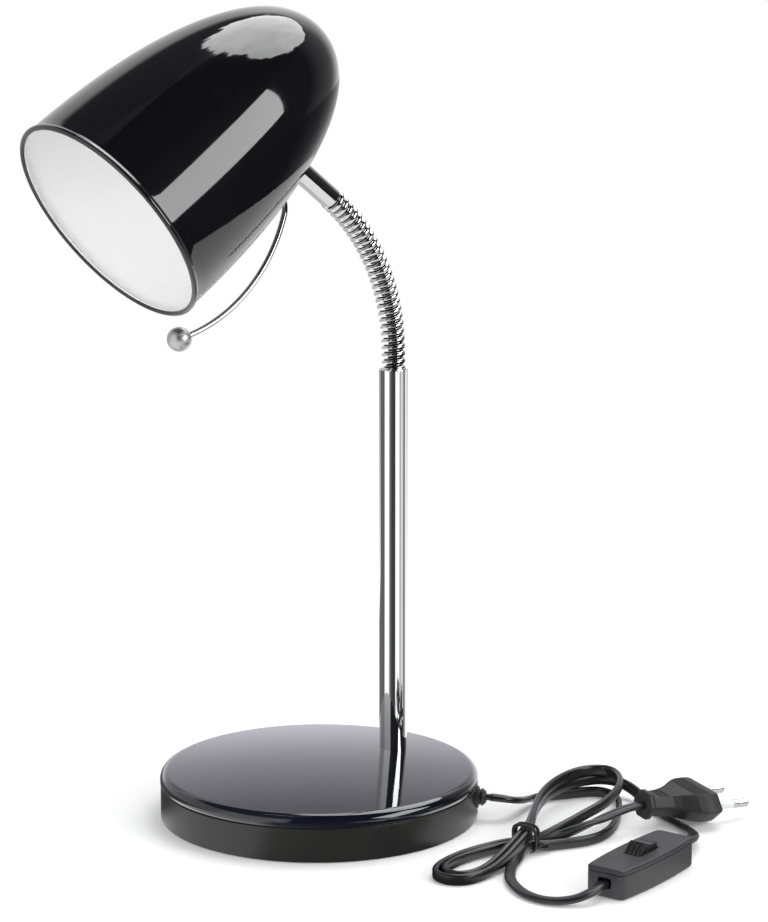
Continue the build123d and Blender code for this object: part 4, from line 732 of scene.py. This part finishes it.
# Rocker: each station along it is a rounded oblong from its keel to its crest. One end rises in a
# fluted slope to the thumb's ridge, and the other is flat.
rocker_way = np.cos(rocker_tilt) * switch_along + np.sin(rocker_tilt) * up
rocker_up = np.cos(rocker_tilt) * up - np.sin(rocker_tilt) * switch_along
rocker_half, rocker_end = 0.0040, 0.0076
flute_pitch, flute_depth = 0.0021, 0.00045
rocker_station = np.linspace(-rocker_end, rocker_end, 115)
crest = np.interp(rocker_station * 1000, [-7.6, -7.0, -1.9, -1.2, -0.4, 2.4, 4.8, 7.3, 7.6],
                  [4.3, 4.75, 8.0, 8.15, 7.75, 6.0, 5.5, 5.4, 5.0]) / 1000
keel = np.interp(np.abs(rocker_station), [0, 0.0030, rocker_end], [-0.0022, -0.0022, 0.0010])
top_share = np.linspace(0.93, -0.93, 61)
across_share = np.concatenate([top_share, [-0.98, -1, -1, -0.98], np.linspace(-0.93, 0.93, 6), [0.98, 1, 1, 0.98]])
on_crest = np.concatenate([np.ones(61), [1, 1, 0, 0], np.zeros(6), [0, 0, 1, 1]])
drop = np.concatenate([np.zeros(61), [0.0001, 0.0004, -0.0004, -0.0001], np.zeros(6),
                       [-0.0001, -0.0004, 0.0004, 0.0001]])
flutes = np.concatenate([np.clip(0.3 - np.cos(2 * np.pi * top_share * rocker_half / flute_pitch), 0, 1), np.zeros(14)])
fluted = np.clip(np.minimum(rocker_station + 0.0073, -0.0022 - rocker_station) / 0.0004, 0, 1)
rise = on_crest * crest[:, None] + (1 - on_crest) * keel[:, None] - drop - flute_depth * fluted[:, None] * flutes
rocker_points = (switch_middle + rocker_pivot * up + rocker_station[:, None, None] * rocker_way
                 + rocker_half * across_share[:, None] * switch_across + rise[..., None] * rocker_up)
rocker = closed_piece("rocker_cap", rocker_points, rocker_plastic)
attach(rocker, "rocker")
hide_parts("switch_rocker")
for piece, node in ((switch_tray, "switch_base"), (switch_lid, "switch_cover")):
    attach(piece, "stand")
    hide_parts(node)


# ---- plug -------------------------------------------------------------------------------------
# Flat two-pin plug, moulded in one piece on the cord: six-sided body, grip ribs across its flats,
# three slits in its tail and a six-sided flange.
plug_nose = np.array((0.1379, -0.1175, 0.0096))
plug_across = np.array((0.10869772, 0.98930736, 0.09724066))
plug_up = np.array((0.07299079, -0.10549916, 0.99173700))
plug_way = np.array((0.99139152, -0.10070188, -0.08367784))
plug_width, plug_thickness = 0.0353, 0.0137
plug_sections = np.array([  # distance behind the nose, width, width of the flats, thickness
    (0.0, 0.84, 0.52, 0.86), (1.0, 0.92, 0.58, 0.95), (2.4, 0.97, 0.62, 1.0), (5.5, 1.0, 0.65, 1.0),
    (9.5, 0.985, 0.64, 1.0),
    (13.0, 0.90, 0.58, 0.97), (16.5, 0.73, 0.47, 0.90), (19.5, 0.585, 0.37, 0.83), (23.0, 0.47, 0.30, 0.76),
    (26.0, 0.42, 0.27, 0.72), (33.0, 0.38, 0.24, 0.66)])
flange_start, flange_radius = 0.033, 0.0074


def loop_eased(corners, radius, steps=5):
    """Rounds the corners of a closed outline, one outline for each row of corners. Each corner
    becomes a parabola, with a further point on either side."""
    ahead = np.roll(corners, -1, 1) - corners
    back = np.roll(corners, 1, 1) - corners
    reach = np.minimum(radius, 0.3 * np.minimum(np.linalg.norm(ahead, axis=2), np.linalg.norm(back, axis=2)))
    share = np.linspace(0, 1, steps)
    weight_back = np.concatenate([[1.5], (1 - share) ** 2, [0]])
    weight_ahead = np.concatenate([[0], share**2, [1.5]])
    ways_back, ways_ahead = unit(back), unit(ahead)
    bends = (corners[:, :, None] + reach[:, :, None, None]
             * (weight_back[:, None] * ways_back[:, :, None] + weight_ahead[:, None] * ways_ahead[:, :, None]))
    return bends.reshape(len(corners), -1, 2)


body_station = np.linspace(0, 0.033, 133)
width, flat, thick = (np.interp(body_station, plug_sections[:, 0] / 1000, plug_sections[:, column])
                      for column in (1, 2, 3))
groove = np.zeros_like(body_station)
for first, last, pitch in ((0.0058, 0.0140, 0.00137), (0.0245, 0.0300, 0.0018)):  # the grip's ribs and the tail's slits
    wave = np.clip(1.6 * np.sin((body_station - first) / pitch * 2 * np.pi) - 0.2, 0, 1)
    groove = np.where((body_station > first) & (body_station < last), wave, groove)
half_width, half_flat, half_thick = plug_width * width / 2, plug_width * flat / 2, plug_thickness * thick / 2
level = half_thick - 0.0006 * groove
corners = np.stack([np.stack([half_width, 0 * level], 1), np.stack([half_flat, half_thick], 1),
                    np.stack([half_flat * 0.9, level], 1)], 1)
corners = np.hstack([corners, corners[:, :0:-1] * (-1, 1), -corners, corners[:, :0:-1] * (1, -1)])
outline = loop_eased(corners, 0.0009)
body_points = (plug_nose - body_station[:, None, None] * plug_way + outline[..., :1] * plug_across
               + outline[..., 1:] * plug_up)
plug_body = closed_piece("plug_moulding", body_points, fitting_plastic)
flange_angle = np.radians(np.arange(6) * 60.0)
flange_level = np.array([0.0, 0.0002, 0.0006, 0.0015, 0.0024, 0.0028, 0.0030])
flange_size = flange_radius * np.array([0.93, 0.97, 1.0, 1.0, 1.0, 0.97, 0.93])
flange_corners = flange_size[:, None, None] * np.stack([np.cos(flange_angle), np.sin(flange_angle)], 1)[None]
flange_outline = loop_eased(flange_corners, 0.0012)
flange_points = (plug_nose - (flange_start + flange_level)[:, None, None] * plug_way
                 + flange_outline[..., :1] * plug_across + flange_outline[..., 1:] * plug_up)
plug_flange = closed_piece("plug_flange", flange_points, fitting_plastic)
for piece in (plug_body, plug_flange):
    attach(piece, "stand")
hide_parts("plug_body")

# Pins: nickel-plated brass with a moulded sleeve over the half next to the plug.
pin_spread = 0.0186
pin_radius = 0.002
sleeve_radius = 0.00195
pin_length, sleeve_length = 0.019, 0.010
pin_metal = surface_finish("pin_metal", (0.72, 0.72, 0.73), (0.80, 0.80, 0.81), (0.10, 0.20), 700.0, 0.000004,
                           Metallic=1.0)
sleeve_plastic = surface_finish("sleeve_plastic", (0.72, 0.73, 0.74), (0.78, 0.79, 0.80), (0.25, 0.35), 900.0, 0.00001)
pin_profile = eased([(0, sleeve_length - 0.002), (pin_radius - 0.0003, sleeve_length - 0.002),
                     (pin_radius - 0.0003, sleeve_length), (pin_radius, sleeve_length),
                     (pin_radius, pin_length - 0.0008), (pin_radius - 0.0008, pin_length), (0, pin_length)], 0.0002)
sleeve_profile = eased([(0, -0.002), (sleeve_radius, -0.002), (sleeve_radius, sleeve_length - 0.0001),
                        (0, sleeve_length - 0.0001)], 0.0002)
for number, side in enumerate((-1, 1), start=1):
    root = plug_nose + side * pin_spread / 2 * plug_across
    pin = turned(f"plug_pin_{number}", pin_profile, [pin_metal], root, plug_way, 48)
    sleeve = turned(f"pin_sleeve_{number}", sleeve_profile, [sleeve_plastic], root, plug_way, 48)
    for piece in (pin, sleeve):
        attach(piece, "stand")
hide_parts("plug_pins")
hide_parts("pin_sleeves")


# ---- what the frame already has in its right shape ---------------------------------------------
# Cast, turned and stamped parts inside the base, the shade and the switch, each in its own finish.
cast_iron = surface_finish("cast_iron", (0.060, 0.058, 0.056), (0.100, 0.095, 0.090), (0.55, 0.75), 500.0, 0.0002,
                           Metallic=0.8)
foam = surface_finish("foam", (0.030, 0.030, 0.032), (0.050, 0.050, 0.052), (0.85, 0.95), 1500.0, 0.0002)
zinc_steel = surface_finish("zinc_steel", (0.56, 0.57, 0.58), (0.66, 0.66, 0.66), (0.28, 0.42), 400.0, 0.00001,
                            Metallic=1.0)
brass = surface_finish("brass", (0.60, 0.43, 0.18), (0.72, 0.53, 0.24), (0.22, 0.36), 500.0, 0.00001, Metallic=1.0)
holder_plastic = surface_finish("holder_plastic", (0.80, 0.80, 0.79), (0.87, 0.87, 0.86), (0.38, 0.50), 800.0, 0.00002)
node_finishes = {
    "base_ballast": cast_iron, "base_pad": foam, "tray_screws": zinc_steel, "cable_clamp": zinc_steel,
    "clamp_screws": zinc_steel, "pole_bush": zinc_steel, "pole_nipple": zinc_steel, "pole_nut": zinc_steel,
    "pole_washer": zinc_steel, "pole_cable": cord_finish, "shade_cable": cord_finish,
    "ferrule_nut": zinc_steel, "ferrule_washer": zinc_steel, "handle_nut": zinc_steel,
    "holder_bracket": zinc_steel, "holder_nipple": zinc_steel, "holder_nuts": zinc_steel,
    "holder_cap": holder_plastic, "holder_body": holder_plastic, "holder_insert": holder_plastic,
    "lamp_screw_shell": brass, "centre_contact": brass, "terminal_screws": brass,
    "switch_screws": zinc_steel, "switch_spring": brass, "switch_terminals": brass}
for node, finish in node_finishes.items():
    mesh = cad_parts[node].data
    if mesh.materials:
        for index in range(len(mesh.materials)):
            mesh.materials[index] = finish
    else:
        mesh.materials.append(finish)


# ---- studio -----------------------------------------------------------------------------------
# White floor and background, three soft lamps, and for what mirrors them a studio in which white
# panels stand with dark gaps between them.
def azimuth_ramp(tree, vector, stops):
    """Brightness by the way that a vector points in plan, from a list of azimuths and levels."""
    split = tree.nodes.new("ShaderNodeSeparateXYZ")
    angle = tree.nodes.new("ShaderNodeMath")
    angle.operation = "ARCTAN2"
    share = tree.nodes.new("ShaderNodeMath")
    share.operation = "MULTIPLY_ADD"
    share.inputs[1].default_value = 1 / (2 * np.pi)
    share.inputs[2].default_value = 0.5
    wire(tree, vector, split.inputs[0])
    wire(tree, split.outputs["Y"], angle.inputs[0])
    wire(tree, split.outputs["X"], angle.inputs[1])
    wire(tree, angle.outputs[0], share.inputs[0])
    return ramp(tree, share.outputs[0], [(azimuth / 360 + 0.5, value) for azimuth, value in stops])


def ramp(tree, value, stops):
    """Brightness by a value, from a list of values between 0 and 1 and their levels."""
    node = tree.nodes.new("ShaderNodeValToRGB")
    while len(node.color_ramp.elements) < len(stops):
        node.color_ramp.elements.new(0.5)
    for element, (position, level) in zip(node.color_ramp.elements, stops):
        element.position = position
        element.color = (level, level, level, 1)
    wire(tree, value, node.inputs["Fac"])
    return node.outputs["Color"]


def light_path(tree):
    """The outputs that tell what kind of ray sees the material, and over what length."""
    return tree.nodes.new("ShaderNodeLightPath").outputs


def noise(tree, vector, scale, detail=2.0):
    """An uneven value of the given scale over a place or a direction."""
    node = tree.nodes.new("ShaderNodeTexNoise")
    node.inputs["Scale"].default_value, node.inputs["Detail"].default_value = scale, detail
    wire(tree, vector, node.inputs["Vector"])
    return node.outputs["Fac"]


def calculate(tree, operation, *values, vector=False):
    """One step of a sum, on numbers or on vectors: each value is a socket or a constant."""
    node = tree.nodes.new("ShaderNodeVectorMath" if vector else "ShaderNodeMath")
    node.operation = operation
    for socket, value in zip(node.inputs, values):
        if isinstance(value, bpy.types.NodeSocket):
            wire(tree, value, socket)
        else:
            socket.default_value = value
    return node.outputs["Value" if operation in ("DOT_PRODUCT", "LENGTH") else 0]


def panel_place(tree, vector, middle, upward):
    """Where a direction meets a flat panel one away from the eye: across it and up it, and how far
    it points the panel's way."""
    middle = unit(middle)
    upward = unit(np.asarray(upward) - np.dot(upward, middle) * middle)
    across = np.cross(middle, upward)
    towards = calculate(tree, "DOT_PRODUCT", vector, tuple(middle), vector=True)
    side = calculate(tree, "DOT_PRODUCT", vector, tuple(across), vector=True)
    rise = calculate(tree, "DOT_PRODUCT", vector, tuple(upward), vector=True)
    return calculate(tree, "DIVIDE", side, towards), calculate(tree, "DIVIDE", rise, towards), towards


def soft_step(tree, value, low, high):
    """From 0 to 1 as a value goes from low to high."""
    node = tree.nodes.new("ShaderNodeMapRange")
    node.interpolation_type = "SMOOTHSTEP"
    node.inputs["From Min"].default_value, node.inputs["From Max"].default_value = low, high
    wire(tree, value, node.inputs["Value"])
    return node.outputs["Result"]


def emission(tree, colour, strength=1.0):
    """A light that shines with a colour, given as a socket or a constant."""
    node = tree.nodes.new("ShaderNodeEmission")
    node.inputs["Strength"].default_value = strength
    if isinstance(colour, bpy.types.NodeSocket):
        wire(tree, colour, node.inputs["Color"])
    else:
        node.inputs["Color"].default_value = colour
    return node.outputs[0]


def mixed(tree, share, first, second):
    """Two shaders, mixed by a share."""
    node = tree.nodes.new("ShaderNodeMixShader")
    wire(tree, share, node.inputs[0])
    wire(tree, first, node.inputs[1])
    wire(tree, second, node.inputs[2])
    return node.outputs[0]


world = bpy.data.worlds.new("studio")
bpy.context.scene.world = world
world.use_nodes = True
sky = world.node_tree
sky.nodes.clear()
sky_out = sky.nodes.new("ShaderNodeOutputWorld")
sky_path = light_path(sky)
sky_way = sky.nodes.new("ShaderNodeTexCoord").outputs["Generated"]
ambient, mirrored, backdrop = (sky.nodes.new("ShaderNodeBackground") for _ in range(3))
ambient.inputs["Color"].default_value = (1, 1, 1, 1)
ambient.inputs["Strength"].default_value = 0.5
backdrop.inputs["Color"].default_value = (1, 1, 1, 1)
around = azimuth_ramp(sky, sky_way, [(-180, 0.85), (-152, 0.85), (-146, 0.03), (-103, 0.02), (-20, 0.02), (-12, 0.12),
                                     (9, 0.24), (22, 0.7), (48, 0.98), (62, 0.62), (100, 0.5), (150, 0.5), (163, 0.85),
                                     (180, 0.85)])
sky_height = sky.nodes.new("ShaderNodeSeparateXYZ")
wire(sky, sky_way, sky_height.inputs[0])
overhead = soft_step(sky, sky_height.outputs["Z"], 0.60, 0.72)
around = calculate(sky, "MULTIPLY", around, calculate(sky, "MULTIPLY_ADD", overhead, -0.9, 1.0))
umbrella_x, umbrella_y, umbrella_way = panel_place(sky, sky_way, (0.504, 0.1638, 0.848), (0, 0, 1))
ragged = noise(sky, sky_way, 9.0, 5.0)
wave = calculate(sky, "MULTIPLY_ADD", ragged, 0.9, -0.45)
umbrella_x = calculate(sky, "POWER", calculate(sky, "MULTIPLY_ADD", umbrella_x, 1 / 0.49, -0.12), 2.0)
umbrella_y = calculate(sky, "POWER", calculate(sky, "MULTIPLY_ADD", umbrella_y, 1 / 0.34, -0.09), 2.0)
umbrella = calculate(sky, "ADD", calculate(sky, "ADD", umbrella_x, umbrella_y), wave)
umbrella = calculate(sky, "MULTIPLY", soft_step(sky, umbrella, 1.06, 0.98), soft_step(sky, umbrella_way, 0.0, 0.1))
umbrella = calculate(sky, "MULTIPLY", umbrella, calculate(sky, "MULTIPLY_ADD", ragged, 1.6, 2.6))
mirrored_light = calculate(sky, "MAXIMUM", umbrella, around)
wire(sky, mirrored_light, mirrored.inputs["Color"])
sky_light = mixed(sky, sky_path["Is Glossy Ray"], ambient.outputs[0], mirrored.outputs[0])
wire(sky, mixed(sky, sky_path["Is Camera Ray"], sky_light, backdrop.outputs[0]), sky_out.inputs["Surface"])


def stage_sheet(name, corners):
    """A flat four-cornered sheet of the studio, with an empty material on it."""
    mesh = bpy.data.meshes.new(name)
    mesh.from_pydata(corners, [], [(0, 1, 2, 3)])
    sheet = bpy.data.objects.new(name, mesh)
    bpy.context.scene.collection.objects.link(sheet)
    material = bpy.data.materials.new(name)
    material.use_nodes = True
    material.node_tree.nodes.clear()
    mesh.materials.append(material)
    return sheet, material.node_tree, material.node_tree.nodes.new("ShaderNodeOutputMaterial").inputs["Surface"]


def level_corners(level):
    """The corners of a sheet as wide as the floor, at a level."""
    return [(2.5 * x, 2.5 * y, level) for x, y in ((-1, -1), (1, -1), (1, 1), (-1, 1))]


_, paper, paper_surface = stage_sheet("floor", level_corners(0))
paper_path = light_path(paper)
paper_place = paper.nodes.new("ShaderNodeTexCoord").outputs["Object"]
matte = paper.nodes.new("ShaderNodeBsdfDiffuse")
matte.inputs["Color"].default_value = (0.93, 0.93, 0.935, 1)
lifted = paper.nodes.new("ShaderNodeAddShader")
wire(paper, matte.outputs[0], lifted.inputs[0])
wire(paper, emission(paper, paper_path["Is Camera Ray"], 0.10), lifted.inputs[1])
from_base = calculate(paper, "LENGTH", paper_place, vector=True)
seen_far = calculate(paper, "MULTIPLY", soft_step(paper, from_base, 0.20, 0.45), paper_path["Is Camera Ray"])
seen = mixed(paper, seen_far, lifted.outputs[0], emission(paper, (1, 1, 1, 1)))
from_pole = calculate(paper, "SUBTRACT", paper_place, (pole_x, 0, 0), vector=True)
near_panels = azimuth_ramp(paper, from_pole, [(-180, 1.1), (-164, 1.1), (-157, 0.2), (-140, 0.06), (-113, 0.03),
                                              (-107, 1.1), (-80, 1.1), (-72, 0.4), (-66, 0.4), (-58, 0.75), (-46, 0.75),
                                              (-36, 0.2), (-20, 0.2), (-8, 1.0), (60, 1.0), (74, 0.17), (154, 0.10),
                                              (165, 1.1), (180, 1.1)])
wire(paper, mixed(paper, paper_path["Is Glossy Ray"], seen, emission(paper, near_panels)), paper_surface)

# Two cards that only mirrors see: a table top for what stands above the pole, clear from below, and a
# shaded flag behind the base.
card_level = 0.2092
card, table, table_surface = stage_sheet("table_card", level_corners(card_level))
table_path = light_path(table)
table_place = table.nodes.new("ShaderNodeTexCoord").outputs["Object"]
table_along = calculate(table, "DOT_PRODUCT", table_place, (0.7071, 0.7071, 0), vector=True)
table_across = calculate(table, "DOT_PRODUCT", table_place, (0.7071, -0.7071, 0), vector=True)

# Its lit part ends in a bowed and slightly rough edge on the camera's side, and fades out behind.
bend = calculate(table, "POWER", calculate(table, "SUBTRACT", table_along, 0.080), 2.0)
table_edge = calculate(table, "MULTIPLY_ADD", bend, -1 / 1.6, 0.159)
table_rough = calculate(table, "MULTIPLY_ADD", noise(table, table_place, 60.0), 0.012, -0.006)
inside_edge = calculate(table, "SUBTRACT", calculate(table, "ADD", table_edge, table_rough), table_across)
table_lit = calculate(table, "MULTIPLY", soft_step(table, inside_edge, -0.001, 0.002),
                      soft_step(table, table_across, -0.09, 0.02))
table_far = azimuth_ramp(table, table_place, [(-180, 0.85), (-152, 0.85), (-146, 0.02), (-20, 0.01), (0, 0.08),
                                              (15, 0.22), (30, 0.42), (60, 0.5), (150, 0.45), (163, 0.85), (180, 0.85)])
table_light = calculate(table, "MAXIMUM", calculate(table, "MULTIPLY", table_lit, 0.75), table_far)

# What is near the gooseneck, and mirrored by it, stands light on one side and dark on the other.
from_neck = calculate(table, "SUBTRACT", table_place, (0.040, 0, card_level), vector=True)
neck_distance = calculate(table, "LENGTH", from_neck, vector=True)
near_neck = calculate(table, "MULTIPLY", soft_step(table, neck_distance, 0.13, 0.09),
                      soft_step(table, table_path["Ray Length"], 0.085, 0.06))
neck_light = azimuth_ramp(table, from_neck, [(-180, 1.0), (-176, 1.0), (-166, 0.01), (15, 0.01), (35, 1.0), (180, 1.0)])
neck_shade = calculate(table, "MULTIPLY", near_neck, calculate(table, "SUBTRACT", neck_light, table_light))
table_light = calculate(table, "ADD", table_light, neck_shade)

# It gives way where a piece passes through it, and dims second images seen from below.
clear = table.nodes.new("ShaderNodeBsdfTransparent")
second_image = soft_step(table, table_path["Glossy Depth"], 1.2, 1.8)
wire(table, calculate(table, "MULTIPLY_ADD", second_image, -0.25, 1.0), clear.inputs["Color"])
too_near = calculate(table, "MULTIPLY", soft_step(table, table_path["Ray Length"], 0.040, 0.005),
                     soft_step(table, neck_distance, 0.05, 0.07))
seen_through = calculate(table, "MAXIMUM", table.nodes.new("ShaderNodeNewGeometry").outputs["Backfacing"], too_near)
wire(table, mixed(table, seen_through, emission(table, table_light), clear.outputs[0]), table_surface)

flag_way = np.array((0.588, 0.809, 0))
flag_side = np.array((0.809, -0.588, 0))
flag_distance, flag_half, flag_low, flag_high = 0.25, 0.24, 0.030, card_level - 0.001
flag, shaded, shaded_surface = stage_sheet("flag", [
    tuple(flag_distance * flag_way + side * flag_half * flag_side + (0, 0, level))
    for side, level in ((-1, flag_low), (1, flag_low), (1, flag_high), (-1, flag_high))])
flag_height = shaded.nodes.new("ShaderNodeSeparateXYZ")
wire(shaded, shaded.nodes.new("ShaderNodeTexCoord").outputs["Object"], flag_height.inputs[0])
flag_light = ramp(shaded, calculate(shaded, "MULTIPLY", flag_height.outputs["Z"], 5.0),
                  [(0.15, 1.08), (0.25, 0.98), (0.50, 0.63), (0.85, 0.37), (1.0, 0.33)])
flag_light = calculate(shaded, "MULTIPLY", flag_light, (0.99, 0.97, 1.06), vector=True)
wire(shaded, emission(shaded, flag_light), shaded_surface)
for sheet in (card, flag):
    sheet.visible_camera = sheet.visible_diffuse = sheet.visible_shadow = sheet.visible_transmission = False


def softbox(name, target, way, distance_to, width, height, upward, brightness, mirrored_too=True):
    """A rectangular lamp in a direction from its target, facing it, whose height runs along the
    given way as nearly as it can."""
    way = unit(way)
    upward = unit(np.asarray(upward) - np.dot(upward, way) * way)
    data = bpy.data.lights.new(name, "AREA")
    data.shape = "RECTANGLE"
    data.size, data.size_y = width, height
    data.energy = brightness * np.pi * width * height
    lamp = bpy.data.objects.new(name, data)
    matrix = Matrix(np.column_stack([np.cross(upward, way), upward, way]).tolist()).to_4x4()
    matrix.translation = Vector(np.asarray(target) + way * distance_to)
    lamp.matrix_world = matrix
    lamp.visible_glossy = mirrored_too
    bpy.context.scene.collection.objects.link(lamp)


shade_middle = np.array((-0.075, -0.045, 0.300))
strip_way, strip_up = np.array((0.5484, -0.7751, 0.3138)), np.array((-0.5299, -0.0318, 0.8474))
strip_side = np.cross(strip_way, strip_up)
softbox("softbox_right", shade_middle, strip_way + 0.117 * strip_side, 1.4, 1.07, 0.68, strip_up, 4.2)
softbox("softbox_back", shade_middle, (0.504, 0.1638, 0.848), 1.4, 1.3, 0.95, (0, 0, 1), 3.4, False)
softbox("softbox_left", shade_middle, (-0.95, -0.25, 0.10), 1.4, 0.80, 0.90, (0, 0, 1), 2.6, False)
softbox("softbox_low", shade_middle, (-0.93, -0.33, -0.05), 1.0, 0.90, 0.40, (0, 0, 1), 3.2, False)
